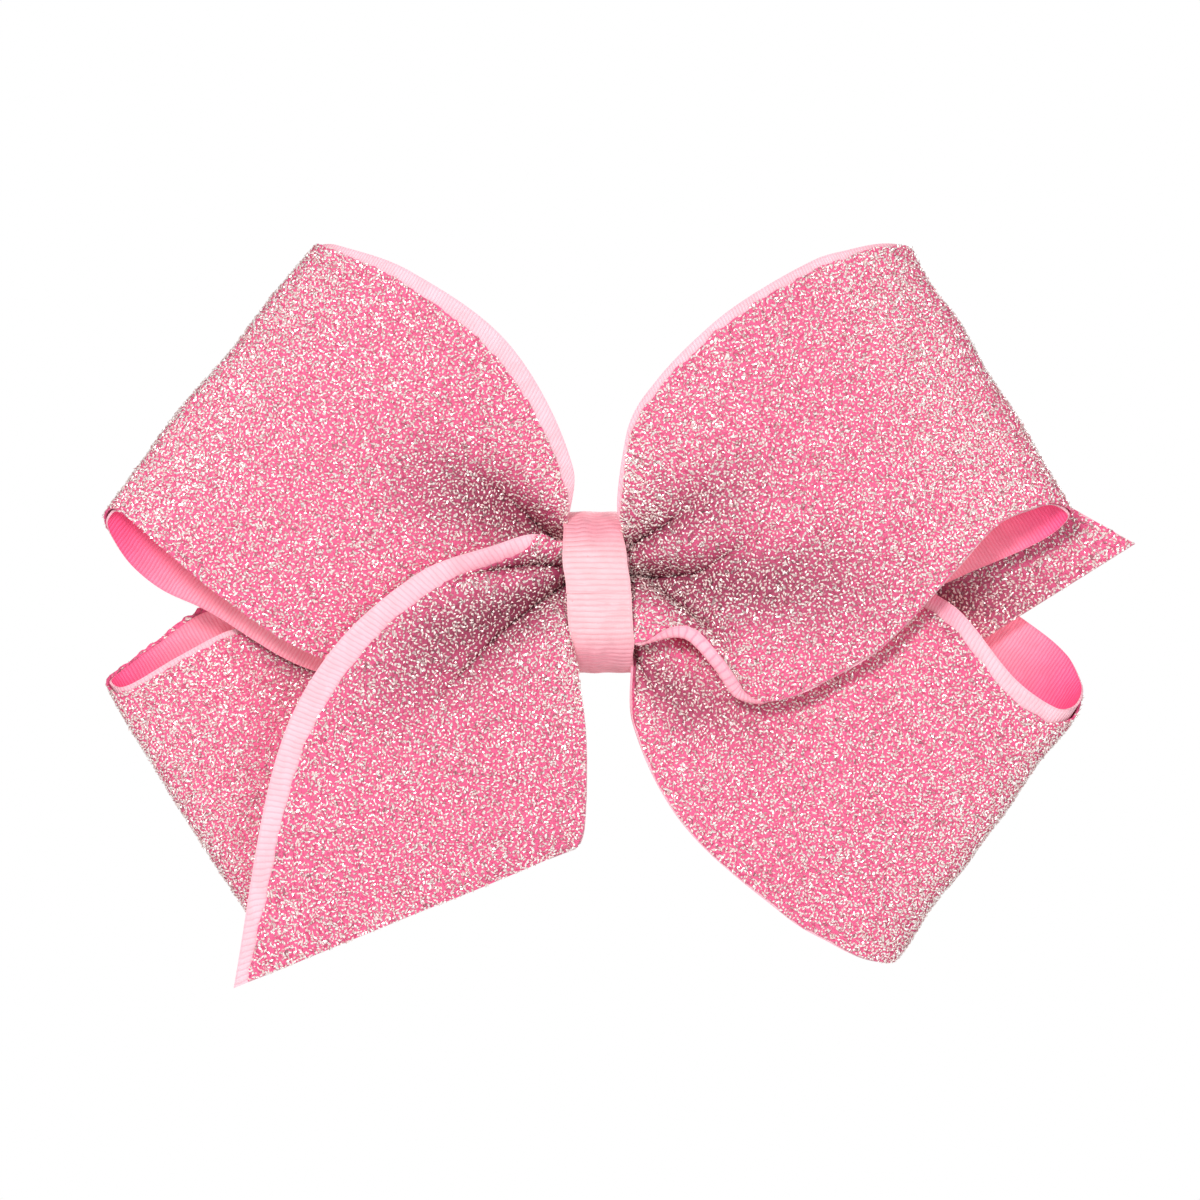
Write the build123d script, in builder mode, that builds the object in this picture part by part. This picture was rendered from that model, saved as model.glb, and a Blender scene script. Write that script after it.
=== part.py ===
"""A large glitter hair bow on a sprung alligator clip.

One long ribbon, a grosgrain base with a glitter overlay on its outer face, runs from the
rear tail round four loops to the front tail. Its five passes are pleated on top of each
other in the middle, tied with thread, glued to a lined clip and covered by a narrow wrap.

Frame: millimetres, +Z up as worn, +X to the viewer's right, and the bow's front faces -Y.
The origin is the middle of the clip's jaw gap. "Depth" below is measured from there
towards the viewer, so a point at depth d has y = -d.
"""
from build123d import *
import math
import os

os.makedirs("parts", exist_ok=True)

# ---------------------------------------------------------------- driving dimensions
BASE_THICKNESS = 0.4           # grosgrain, the wide ribbon
GLITTER_THICKNESS = 0.4        # tinsel overlay

WRAP_WIDTH = 10.6              # the narrow ribbon round the middle
WRAP_THICKNESS = 0.45

JAW_GAP = 5.0                  # free height between the clip's jaws, at the wrap
STEEL = 0.6                    # clip sheet metal
CLIP_WIDTH = 9.4
LINING_THICKNESS = 0.35
JAW_LENGTH = 45.0              # from the pin to the jaw tips
TAB_LENGTH = 15.0              # from the pin to the ends of the thumb tabs
PIN_X = 12.0
PIN_RADIUS = 0.8
PIN_CLEARANCE = 0.03

PASS_COUNT = 5                 # pleated passes in the middle
PASS_PITCH = 3.1               # depth of one pleated pass
PLEAT_FOLDS = 8
GLUE_THICKNESS = 0.5
THREAD = 0.4
PLEAT_OVERHANG = 0.5           # the pleats reach this far beyond the wrap
ROOT_GAP = 0.3                 # between the pleats and the loops
CLEARANCE = 0.05               # between pieces that lie on each other

# ---------------------------------------------------------------- depths in the middle
wrap_back = JAW_GAP / 2
lining_back = wrap_back + WRAP_THICKNESS + CLEARANCE
arm_back = lining_back + LINING_THICKNESS
arm_front = arm_back + STEEL
lining_front = arm_front + LINING_THICKNESS
glue_front = lining_front + GLUE_THICKNESS
core_back = glue_front + THREAD + 2 * CLEARANCE


def pass_depth(number):
    """Depth of a pass's middle: 1 is the front pass and 5 the back one."""
    return core_back + PASS_PITCH * (PASS_COUNT + 0.5 - number)


pass_half_heights = {1: 6.9, 2: 9.4, 3: 12.4, 4: 12.2, 5: 9.0}
core_half_width = WRAP_WIDTH / 2 + PLEAT_OVERHANG
root_x = core_half_width + ROOT_GAP

# Depths at which each stretch of ribbon leaves the middle.
first, second, third, fourth, fifth = (pass_depth(number) for number in range(1, PASS_COUNT + 1))


# ---------------------------------------------------------------- ribbon stretches
# Each stretch is a sheet ruled between its lower and its upper selvedge. A selvedge is a
# row of (x, depth, z) points. A loop's rows go from its front root, out along the front
# layer, round the fold and back along the rear layer. A tail's rows end at its cut.
def slopes(points, distances):
    """The direction and speed of a smooth curve at each of its points."""
    last = len(points) - 1
    result = []
    for index in range(len(points)):
        before = max(index - 1, 0)
        after = min(index + 1, last)
        result.append((points[after] - points[before]) / (distances[after] - distances[before]))
    return result


def curve_spans(points, distances):
    """The smooth curve through the points, as one Bezier edge for each span."""
    speeds = slopes(points, distances)
    edges = []
    for index in range(len(points) - 1):
        third_of_span = (distances[index + 1] - distances[index]) / 3
        start = points[index]
        end = points[index + 1]
        start_handle = start + speeds[index] * third_of_span
        end_handle = end - speeds[index + 1] * third_of_span
        edges.append(Edge.make_bezier(start, start_handle, end_handle, end))
    return edges


def ribbon_layer(rows, thickness):
    """A closed ribbon layer; a negative thickness lies on the other side of the rows."""
    lower = [Vector(x, -depth, z) for (x, depth, z), _ in rows]
    upper = [Vector(x, -depth, z) for _, (x, depth, z) in rows]
    middles = [(low + high) / 2 for low, high in zip(lower, upper)]
    distances = [0.0]
    for before, after in zip(middles[:-1], middles[1:]):
        distances.append(distances[-1] + (after - before).length)
    steps = [
        speed.cross(high - low).normalized() * thickness
        for speed, low, high in zip(slopes(middles, distances), lower, upper)
    ]
    corners = [
        lower,
        upper,
        [high + step for high, step in zip(upper, steps)],
        [low + step for low, step in zip(lower, steps)],
    ]
    curves = [curve_spans(points, distances) for points in corners]
    faces = []
    for side in range(4):
        for edge, next_edge in zip(curves[side], curves[(side + 1) % 4]):
            faces.append(Face.make_surface_from_curves(edge, next_edge))
    for end in (0, -1):
        outline = Wire.make_polygon([points[end] for points in corners])
        faces.append(Face(outline))
    return Solid(Shell(faces))


stretches = {
    "upper_left_loop": [
        ((-root_x, second, -9.5), (-root_x, second, 7.7)),
        ((-24.0, 17.0, -13.5), (-4.9, 19.0, 21.0)),
        ((-45.3, 20.0, -11.4), (-15.0, 21.5, 41.3)),
        ((-63.7, 20.5, -0.4), (-31.4, 20.5, 53.9)),
        ((-78.7, 18.0, 12.3), (-43.6, 16.5, 58.4)),
        ((-82.5, 14.6, 13.6), (-47.0, 12.8, 58.5)),
        ((-79.3, 11.4, 9.5), (-44.0, 9.2, 56.0)),
        ((-66.6, 11.2, -2.7), (-33.0, 7.6, 50.0)),
        ((-47.0, 11.4, -13.4), (-17.0, 8.0, 40.0)),
        ((-24.0, 12.4, -14.0), (-6.9, 10.5, 21.0)),
        ((-root_x, third, -10.0), (-root_x, third, 9.0)),
    ],
    "lower_left_loop": [
        ((-root_x, fourth, -9.6), (-root_x, fourth, 6.0)),
        ((-10.0, 11.6, -26.0), (-24.0, 9.4, 2.0)),
        ((-22.0, 13.2, -45.0), (-45.0, 8.7, -2.5)),
        ((-38.0, 13.0, -55.0), (-61.8, 8.3, -6.2)),
        ((-50.5, 11.6, -60.5), (-78.5, 7.8, -15.8)),
        ((-53.6, 8.2, -62.0), (-82.8, 4.8, -16.3)),
        ((-50.5, 4.8, -58.5), (-80.0, 2.0, -11.6)),
        ((-38.0, 3.2, -53.0), (-66.9, 2.2, -2.3)),
        ((-23.0, 3.2, -43.5), (-47.0, 4.6, 2.0)),
        ((-10.0, 4.8, -25.0), (-24.0, 6.0, 5.0)),
        ((-root_x, fifth, -8.6), (-root_x, fifth, 8.0)),
    ],
    "upper_right_loop": [
        ((root_x, first, -8.7), (root_x, first, 6.5)),
        ((19.6, 21.0, -12.1), (4.2, 21.5, 18.5)),
        ((32.2, 23.0, -17.4), (9.3, 23.5, 35.0)),
        ((48.2, 22.5, -8.7), (23.1, 22.5, 48.2)),
        ((60.2, 21.5, 3.9), (36.2, 19.8, 55.9)),
        ((74.6, 19.4, 14.4), (47.5, 16.8, 58.6)),
        ((79.4, 16.2, 14.0), (51.8, 13.4, 57.8)),
        ((76.5, 12.9, 9.8), (48.5, 10.2, 55.0)),
        ((64.0, 11.8, 4.0), (36.0, 9.0, 50.0)),
        ((45.0, 11.6, -4.0), (20.0, 9.2, 40.0)),
        ((22.0, 12.3, -9.0), (6.9, 10.8, 21.0)),
        ((root_x, third, -9.0), (root_x, third, 9.0)),
    ],
    "lower_right_loop": [
        ((root_x, second, -9.2), (root_x, second, 6.0)),
        ((6.9, 17.5, -22.0), (24.0, 16.8, 5.0)),
        ((14.2, 18.3, -38.9), (43.0, 16.8, 4.0)),
        ((31.5, 17.0, -54.4), (59.5, 16.2, -2.0)),
        ((45.5, 14.2, -61.8), (77.9, 13.4, -18.7)),
        ((49.2, 10.2, -61.6), (81.8, 9.5, -18.0)),
        ((47.0, 6.4, -58.5), (80.0, 5.6, -12.4)),
        ((31.5, 4.4, -51.0), (66.0, 4.6, -1.0)),
        ((15.0, 4.4, -37.0), (45.0, 5.2, 6.0)),
        ((7.4, 5.6, -22.0), (24.0, 6.2, 8.0)),
        ((root_x, fifth, -8.6), (root_x, fifth, 8.0)),
    ],
    "front_tail": [
        ((-root_x, first, -8.6), (-root_x, first, 9.0)),
        ((-3.6, 20.0, -14.0), (-15.0, 22.0, 8.5)),
        ((-2.0, 20.0, -24.0), (-30.0, 24.0, 3.4)),
        ((-1.9, 19.3, -33.0), (-45.0, 24.0, -10.0)),
        ((-2.4, 18.6, -40.5), (-54.2, 21.0, -28.3)),
        ((-4.0, 18.4, -43.0), (-61.3, 17.0, -66.5)),
    ],
    "rear_tail": [
        ((root_x, fourth, -9.0), (root_x, fourth, 8.0)),
        ((16.0, 9.4, -16.0), (24.0, 9.0, 21.0)),
        ((26.0, 9.2, -22.0), (50.0, 8.4, 25.5)),
        ((31.0, 9.2, -25.5), (72.0, 8.2, 18.3)),
        ((34.0, 9.1, -27.2), (90.7, 8.0, 8.3)),
    ],
}

# The glitter is on the outside of every loop and on the front of both tails. A left-hand
# stretch runs to -X and a right-hand one to +X, which turns the layers' sides round.
for stretch_name, rows in stretches.items():
    glitter_side = -1 if rows[1][0][0] < 0 else 1
    layers = {"base": -glitter_side * BASE_THICKNESS, "glitter": glitter_side * GLITTER_THICKNESS}
    for layer_name, thickness in layers.items():
        with BuildPart() as layer:
            add(ribbon_layer(rows, thickness))
        layer.part.label = f"{stretch_name}_{layer_name}"
        export_step(layer.part, f"parts/{stretch_name}_{layer_name}.step")

# ---------------------------------------------------------------- pleated middle
# Each pass is the same ribbon, folded to and fro until it is narrow enough to tie.
PASS_NAMES = {
    1: "pleats_front_tail_to_upper_right",
    2: "pleats_upper_left_to_lower_right",
    3: "pleats_upper_left_to_upper_right",
    4: "pleats_lower_left_to_rear_tail",
    5: "pleats_lower_left_to_lower_right",
}
pleat_thickness = BASE_THICKNESS + GLITTER_THICKNESS
pleat_reach = (PASS_PITCH - pleat_thickness) / 2 - CLEARANCE

for number, pass_name in PASS_NAMES.items():
    half_height = pass_half_heights[number] - pleat_thickness
    pleat_height = 2 * half_height / PLEAT_FOLDS
    with BuildPart() as pleats:
        with BuildSketch(Plane.YZ.offset(-core_half_width)):
            with BuildLine():
                corners = []
                for fold in range(PLEAT_FOLDS + 1):
                    side = 1 if fold % 2 else -1
                    depth = pass_depth(number) + side * pleat_reach
                    corners.append((-depth, -half_height + fold * pleat_height))
                centre_line = Polyline(*corners)
                offset(centre_line, amount=pleat_thickness / 2)
            make_face()
        extrude(amount=2 * core_half_width)
    pleats.part.label = pass_name
    export_step(pleats.part, f"parts/{pass_name}.step")


OUTLINE_RADIUS = 0.4           # how sharply thread and wrap turn a corner


def tight_outline(boxes, margin):
    """The outline pulled tight round (nearest depth, farthest depth, half height) boxes."""
    with BuildSketch() as outline:
        for near, far, half_height in boxes:
            with Locations((-(near + far) / 2, 0)):
                Rectangle(far - near - 2 * OUTLINE_RADIUS, 2 * (half_height - OUTLINE_RADIUS))
        make_hull()
        offset(amount=OUTLINE_RADIUS + margin)
    return outline.sketch


pass_boxes = [
    (pass_depth(number) - PASS_PITCH / 2, pass_depth(number) + PASS_PITCH / 2, half_height)
    for number, half_height in pass_half_heights.items()
]

# ---------------------------------------------------------------- gathering thread
# Three turns of thread pull the pleats together.
THREAD_TURNS = 3
THREAD_SPACING = 1.4
thread_inner = tight_outline(pass_boxes, CLEARANCE)
thread_outer = tight_outline(pass_boxes, CLEARANCE + THREAD)
with BuildPart() as thread:
    for turn in range(THREAD_TURNS):
        turn_x = (turn - (THREAD_TURNS - 1) / 2) * THREAD_SPACING - THREAD / 2
        with BuildSketch(Plane.YZ.offset(turn_x)):
            add(thread_outer)
            add(thread_inner, mode=Mode.SUBTRACT)
        extrude(amount=THREAD)
thread.part.label = "gathering_thread"
export_step(thread.part, "parts/gathering_thread.step")

# ---------------------------------------------------------------- narrow wrap
# It goes over the front of the pleats and round behind the clip's lined upper arm.
thread_reach = CLEARANCE + THREAD
wrapped_boxes = [
    (near - thread_reach, far + thread_reach, half_height + thread_reach)
    for near, far, half_height in pass_boxes
]
wrapped_boxes.append((lining_back, lining_front, CLIP_WIDTH / 2))
wrap_inner = tight_outline(wrapped_boxes, CLEARANCE)
wrap_outer = tight_outline(wrapped_boxes, CLEARANCE + WRAP_THICKNESS)
with BuildPart() as wrap:
    with BuildSketch(Plane.YZ.offset(-WRAP_WIDTH / 2)):
        add(wrap_outer)
        add(wrap_inner, mode=Mode.SUBTRACT)
    extrude(amount=WRAP_WIDTH)
wrap.part.label = "centre_wrap"
export_step(wrap.part, "parts/centre_wrap.step")

# ---------------------------------------------------------------- glue
GLUE_LENGTH = 9.0
GLUE_WIDTH = 6.5
GLUE_EDGE = 0.4                # rounding where it spread out
with BuildPart() as glue:
    with BuildSketch(Plane.XZ.offset(lining_front)):
        SlotOverall(GLUE_LENGTH, GLUE_WIDTH)
    extrude(amount=GLUE_THICKNESS)
    fillet(glue.faces().sort_by(Axis.Y)[0].edges(), radius=GLUE_EDGE)
glue.part.label = "glue_pad"
export_step(glue.part, "parts/glue_pad.step")

# ---------------------------------------------------------------- clip
# Both arms are bent strips. The upper one carries the bow and stays still; the lower one
# turns about the pin. Each has two ears, which stand side by side on the pin.
EAR_LENGTH = 7.0
EAR_RADIUS = 2.2
EAR_GAP = 0.2
TIP_WIDTH = 7.2
CORNER_RADIUS = 3.0
TAB_BEND = 3.0                 # the lower thumb tab is bent this far beyond the pin
TAB_DROP = 7.5
JAW_BEND_X = -9.0              # the lower jaw rises from here to its tip
TIP_FLAT = 5.0
TIP_CLEARANCE = 0.35
TOOTH_COUNT = 5
TOOTH_PITCH = 2.4
TOOTH_HEIGHT = 0.9
FIRST_TOOTH_X = -24.4
TRIM_DEPTH = 15.0              # more than the lower arm reaches to either side

tip_x = PIN_X - JAW_LENGTH
tab_x = PIN_X + TAB_LENGTH
lower_inner = -JAW_GAP / 2     # depth of the lower arm's inner face
tip_inner = lining_back - TIP_CLEARANCE
rise_end_x = tip_x + TIP_FLAT
hole_radius = PIN_RADIUS + PIN_CLEARANCE
upper_ear_z = CLIP_WIDTH / 2 - STEEL
lower_ear_z = upper_ear_z - EAR_GAP - STEEL


def arm_plan():
    """The outline both arms share, seen from the front: it narrows towards the jaw tip."""
    with BuildSketch() as plan:
        Polygon(
            (tip_x, -TIP_WIDTH / 2),
            (JAW_BEND_X, -CLIP_WIDTH / 2),
            (tab_x, -CLIP_WIDTH / 2),
            (tab_x, CLIP_WIDTH / 2),
            (JAW_BEND_X, CLIP_WIDTH / 2),
            (tip_x, TIP_WIDTH / 2),
            align=None,
        )
        ends = plan.vertices().group_by(Axis.X)
        fillet(ends[0] + ends[-1], radius=CORNER_RADIUS)
    return plan.sketch


def ear_outline(inner_depth):
    """An ear from the arm whose strip starts at this depth to round the pin."""
    strip_depth = inner_depth + math.copysign(STEEL / 2, inner_depth)
    with BuildSketch() as ear:
        with Locations((PIN_X, -strip_depth)):
            Rectangle(EAR_LENGTH, STEEL)
        with Locations((PIN_X, 0)):
            Circle(EAR_RADIUS)
        make_hull()
        with Locations((PIN_X, 0)):
            Circle(hole_radius, mode=Mode.SUBTRACT)
    return ear.sketch


def jaw_inner(x):
    """Depth of the lower jaw's inner face on its rising stretch."""
    share = (JAW_BEND_X - x) / (JAW_BEND_X - rise_end_x)
    return lower_inner + share * (tip_inner - lower_inner)


plan = arm_plan()
upper_ear = ear_outline(arm_back)
lower_ear = ear_outline(lower_inner)

with BuildPart() as upper_arm:
    with BuildSketch(Plane.XZ.offset(arm_back)):
        add(plan)
    extrude(amount=STEEL)
    for ear_z in (upper_ear_z, -upper_ear_z - STEEL):
        with BuildSketch(Plane.XY.offset(ear_z)):
            add(upper_ear)
        extrude(amount=STEEL)
upper_arm.part.label = "clip_upper_arm"
export_step(upper_arm.part, "parts/clip_upper_arm.step")

with BuildPart() as lower_arm:
    with BuildSketch(Plane.XY.offset(-CLIP_WIDTH / 2)):
        with BuildLine():
            middle = STEEL / 2
            spine = Polyline(
                (tip_x, middle - tip_inner),
                (rise_end_x, middle - tip_inner),
                (JAW_BEND_X, middle - lower_inner),
                (PIN_X + TAB_BEND, middle - lower_inner),
                (tab_x, middle - lower_inner + TAB_DROP),
            )
            offset(spine, amount=STEEL / 2, kind=Kind.INTERSECTION)
        make_face()
    extrude(amount=CLIP_WIDTH)
    with BuildSketch(Plane.XZ):
        add(plan)
    extrude(amount=TRIM_DEPTH, both=True, mode=Mode.INTERSECT)
    for ear_z in (lower_ear_z, -lower_ear_z - STEEL):
        with BuildSketch(Plane.XY.offset(ear_z)):
            add(lower_ear)
        extrude(amount=STEEL)
    for row_z in (TIP_WIDTH / 2 - STEEL, -TIP_WIDTH / 2):
        with BuildSketch(Plane.XY.offset(row_z)):
            for tooth in range(TOOTH_COUNT):
                root = FIRST_TOOTH_X + tooth * TOOTH_PITCH
                peak = root + TOOTH_PITCH / 2
                end = root + TOOTH_PITCH
                Polygon(
                    (root, middle - jaw_inner(root)),
                    (end, middle - jaw_inner(end)),
                    (peak, -jaw_inner(peak) - TOOTH_HEIGHT),
                    align=None,
                )
        extrude(amount=STEEL)
lower_arm.part.label = "clip_lower_arm"
export_step(lower_arm.part, "parts/clip_lower_arm.step")

# The pin is a rivet: a plain shank with a low head outside each of the upper arm's ears.
HEAD_RADIUS = 1.4
HEAD_HEIGHT = 0.45
HEAD_EDGE = 0.3
with BuildPart() as pin:
    Cylinder(PIN_RADIUS, CLIP_WIDTH)
    for end in (-1, 1):
        with Locations((0, 0, end * (CLIP_WIDTH + HEAD_HEIGHT) / 2)):
            Cylinder(HEAD_RADIUS, HEAD_HEIGHT)
    rims = pin.edges().filter_by(GeomType.CIRCLE).group_by(Axis.Z)
    fillet(rims[0] + rims[-1], radius=HEAD_EDGE)
pin.part = Pos(PIN_X, 0, 0) * pin.part
pin.part.label = "clip_pin"
export_step(pin.part, "parts/clip_pin.step")

# The torsion spring: a closely wound coil round the pin, one leg against each arm.
WIRE_RADIUS = 0.4
COIL_RADIUS = 1.55
COIL_TURNS = 5
LEG_REACH = 4.0
TURN_GAP = 0.02
turn_pitch = 2 * WIRE_RADIUS + TURN_GAP
leg_z = turn_pitch * (COIL_TURNS - 1) / 2
with BuildPart() as spring:
    with BuildSketch(Plane.XZ):
        for turn in range(COIL_TURNS):
            with Locations((COIL_RADIUS, turn * turn_pitch - leg_z)):
                Circle(WIRE_RADIUS)
        with Locations((COIL_RADIUS, 0)):
            Rectangle(WIRE_RADIUS, 2 * leg_z)
    revolve(axis=Axis.Z)
    for side, arm_face in ((1, arm_back), (-1, lower_inner)):
        leg_start = Vector(0, -side * COIL_RADIUS, side * leg_z)
        leg_end = Vector(-LEG_REACH, -(arm_face - side * (WIRE_RADIUS + CLEARANCE)), side * leg_z)
        with BuildSketch(Plane(leg_start, z_dir=leg_end - leg_start)):
            Circle(WIRE_RADIUS)
        extrude(amount=(leg_end - leg_start).length)
spring.part = Pos(PIN_X, 0, 0) * spring.part
spring.part.label = "clip_spring"
export_step(spring.part, "parts/clip_spring.step")

# A ribbon lining is glued round the upper arm, from its thumb tab over the tip to the ears.
LINING_INSET = 1.0             # it stops short of the tab end and of the ears
LINING_FRONT_END = tab_x - LINING_INSET
LINING_BACK_END = PIN_X - EAR_LENGTH / 2 - LINING_INSET
LINING_WIDTH = 9.0
lining_tip_x = tip_x - LINING_THICKNESS / 2
with BuildPart() as lining:
    with BuildSketch(Plane.XY.offset(-LINING_WIDTH / 2)):
        with BuildLine():
            back_middle = arm_back - LINING_THICKNESS / 2
            front_middle = arm_front + LINING_THICKNESS / 2
            fold = Polyline(
                (LINING_FRONT_END, -front_middle),
                (lining_tip_x, -front_middle),
                (lining_tip_x, -back_middle),
                (LINING_BACK_END, -back_middle),
            )
            offset(fold, amount=LINING_THICKNESS / 2, kind=Kind.INTERSECTION)
        make_face()
    extrude(amount=LINING_WIDTH)
lining.part.label = "clip_lining"
export_step(lining.part, "parts/clip_lining.step")
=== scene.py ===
# %% [markdown]
# # A glitter hair bow on a sprung clip
# The real bow is one long ribbon, wound into four loops and two tails, pinched in the middle,
# tied, and covered by a narrow wrap that also holds it to a hair clip. The ribbon is ribbed
# grosgrain with a knitted tinsel layer fixed to its outer face. The clip comes from the CAD
# frame as it is. The cloth is built here as thin curved sheets, because a ribbon is exactly
# that: a flat strip whose shape is set by its two edges and by the gathers at the knot.

# %% Load the frame
import math

import bpy
import numpy as np
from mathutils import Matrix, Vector


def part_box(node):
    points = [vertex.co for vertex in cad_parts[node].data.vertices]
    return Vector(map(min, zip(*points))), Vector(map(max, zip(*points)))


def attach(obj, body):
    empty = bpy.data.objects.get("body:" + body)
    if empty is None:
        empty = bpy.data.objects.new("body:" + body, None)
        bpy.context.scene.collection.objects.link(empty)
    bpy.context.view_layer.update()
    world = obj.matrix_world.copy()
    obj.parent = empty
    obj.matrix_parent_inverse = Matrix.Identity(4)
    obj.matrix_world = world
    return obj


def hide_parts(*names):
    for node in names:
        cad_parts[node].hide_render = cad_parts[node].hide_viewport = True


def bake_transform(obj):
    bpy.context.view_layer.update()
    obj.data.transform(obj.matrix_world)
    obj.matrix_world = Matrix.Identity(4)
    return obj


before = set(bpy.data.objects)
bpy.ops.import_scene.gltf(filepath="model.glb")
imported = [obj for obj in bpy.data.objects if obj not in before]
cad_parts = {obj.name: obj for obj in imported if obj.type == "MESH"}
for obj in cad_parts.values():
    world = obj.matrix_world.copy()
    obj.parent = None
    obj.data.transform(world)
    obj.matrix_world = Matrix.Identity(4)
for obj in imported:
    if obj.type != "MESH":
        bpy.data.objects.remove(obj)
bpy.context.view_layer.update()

MM = 0.001                              # one millimetre, in metres
BOW = "bow"
bpy.ops.object.select_all(action="DESELECT")

# %% [markdown]
# ## Camera, floor and light
# The bow is seen straight on, from far away, so that near and far layers keep their true
# sizes. Below it lies a pale round-cornered floor, small enough to stay out of this view.
# Broad, soft lamps near the camera suit glitter, and leave the gathers dark.

# %% Camera
VIEW_WIDTH = 0.2012                     # what the frame takes in at the bow
VIEW_X, VIEW_Z = 0.0003, -0.0012       # the middle of the bow as it is seen
CAMERA_DISTANCE = 2.0
BOW_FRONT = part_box("centre_wrap")[0].y
camera_data = bpy.data.cameras.new("camera")
camera_data.lens = camera_data.sensor_width * CAMERA_DISTANCE / VIEW_WIDTH
camera_data.clip_end = 20.0
camera = bpy.data.objects.new("camera", camera_data)
camera.location = (VIEW_X, BOW_FRONT - CAMERA_DISTANCE, VIEW_Z)
camera.rotation_euler = (math.radians(90), 0, 0)
bpy.context.scene.collection.objects.link(camera)
bpy.context.scene.camera = camera
bpy.context.scene.view_settings.view_transform = "Standard"
print("lens:", round(camera_data.lens), "mm")

# %% Floor
FLOOR_HEIGHT = -0.17
FLOOR_SIZE = 2.4
FLOOR_CORNER = 0.3
bpy.ops.mesh.primitive_plane_add(size=FLOOR_SIZE, location=(0, 0, FLOOR_HEIGHT))
floor = bpy.context.object
floor.name = "floor"
bpy.ops.object.mode_set(mode="EDIT")
bpy.ops.mesh.bevel(offset=FLOOR_CORNER, segments=12, affect="VERTICES")
bpy.ops.object.mode_set(mode="OBJECT")
bpy.ops.object.transform_apply(location=True)
floor.select_set(False)
print("floor:", len(floor.data.vertices), "corners")


# %% Lamps
def softbox(name, place, size, power):
    """A square lamp aimed at the bow."""
    lamp = bpy.data.lights.new(name, "AREA")
    lamp.size = size
    lamp.energy = power
    holder = bpy.data.objects.new(name, lamp)
    holder.location = place
    holder.rotation_euler = (-Vector(place)).to_track_quat("-Z", "Y").to_euler()
    bpy.context.scene.collection.objects.link(holder)
    print(name, power, "W")


softbox("key_lamp", (-0.45, -1.7, 0.75), 0.45, 26)
softbox("fill_lamp", (0.9, -1.5, 0.1), 0.8, 5.5)
softbox("back_lamp", (0.5, 1.7, 0.9), 0.7, 24)

# %% [markdown]
# The room is white paper all round. It shows bright behind the bow, but only a part of that
# brightness falls on it, or the gathers would have no shade.

# %% Room
ROOM_SHOWN = 1.0
ROOM_CAST = 0.33
world = bpy.data.worlds.new("studio")
world.use_nodes = True
room = world.node_tree
rays = room.nodes.new("ShaderNodeLightPath")
strength = room.nodes.new("ShaderNodeMapRange")
strength.inputs["To Min"].default_value = ROOM_CAST
strength.inputs["To Max"].default_value = ROOM_SHOWN
room.links.new(rays.outputs["Is Camera Ray"], strength.inputs["Value"])
room.links.new(strength.outputs["Result"], room.nodes["Background"].inputs["Strength"])
room.nodes["Background"].inputs["Color"].default_value = (1, 1, 1, 1)
bpy.context.scene.world = world
print("room shown at", ROOM_SHOWN, "and cast at", ROOM_CAST)

# %% [markdown]
# ## Materials
# Three finishes carry the bow: grosgrain, whose ribs run across the ribbon; the knitted
# tinsel, pink yarn with bright metal dashes in it; and the loose tinsel grains that stand
# out of it. What two materials share, the ribs and the dashes, is a node group that reads
# the ribbon's own UV map, laid out in millimetres: U along the ribbon and V across it.


# %% Small helpers for shader nodes
def new_group(name, inputs, outputs):
    """An empty shader node group with named sockets."""
    group = bpy.data.node_groups.new(name, "ShaderNodeTree")
    for socket_name, kind, value in inputs:
        socket = group.interface.new_socket(socket_name, in_out="INPUT", socket_type=kind)
        if value is not None:
            socket.default_value = value
    for socket_name, kind in outputs:
        group.interface.new_socket(socket_name, in_out="OUTPUT", socket_type=kind)
    start = group.nodes.new("NodeGroupInput")
    end = group.nodes.new("NodeGroupOutput")
    return group, start, end


def math_node(tree, operation, *values):
    """A Math node; each value is a number or a socket to join to it."""
    node = tree.nodes.new("ShaderNodeMath")
    node.operation = operation
    for socket, value in zip(node.inputs, values):
        if isinstance(value, (int, float)):
            socket.default_value = value
        else:
            tree.links.new(value, socket)
    return node.outputs[0]


def mix_colours(tree, factor, first, second, blend="MIX"):
    """A colour Mix node; each value is a number, a colour or a socket."""
    node = tree.nodes.new("ShaderNodeMix")
    node.data_type = "RGBA"
    node.blend_type = blend
    for socket, value in zip((node.inputs[0], node.inputs[6], node.inputs[7]), (factor, first, second)):
        if isinstance(value, bpy.types.NodeSocket):
            tree.links.new(value, socket)
        elif isinstance(value, tuple):
            socket.default_value = (*value, 1.0)
        else:
            socket.default_value = value
    return node.outputs[2]


def smooth_step(tree, value, low, high, to_low=0.0, to_high=1.0):
    """Turns low..high smoothly into to_low..to_high."""
    node = tree.nodes.new("ShaderNodeMapRange")
    node.interpolation_type = "SMOOTHSTEP"
    tree.links.new(value, node.inputs["Value"])
    for name, number in zip(("From Min", "From Max", "To Min", "To Max"), (low, high, to_low, to_high)):
        node.inputs[name].default_value = number
    return node.outputs["Result"]


def new_material(name):
    """A material with its Principled shader ready."""
    material = bpy.data.materials.new(name)
    material.use_nodes = True
    return material, material.node_tree, material.node_tree.nodes["Principled BSDF"]


def place_group(tree, group, **values):
    """A group node in a material, with its sockets set or joined."""
    node = tree.nodes.new("ShaderNodeGroup")
    node.node_tree = group
    for name, value in values.items():
        socket = node.inputs[name.replace("_", " ")]
        if isinstance(value, bpy.types.NodeSocket):
            tree.links.new(value, socket)
        else:
            socket.default_value = value
    return node


def fact(tree, name):
    """A number that the mesh carries at each of its points."""
    node = tree.nodes.new("ShaderNodeAttribute")
    node.attribute_name = name
    return node.outputs["Fac"]


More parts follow.
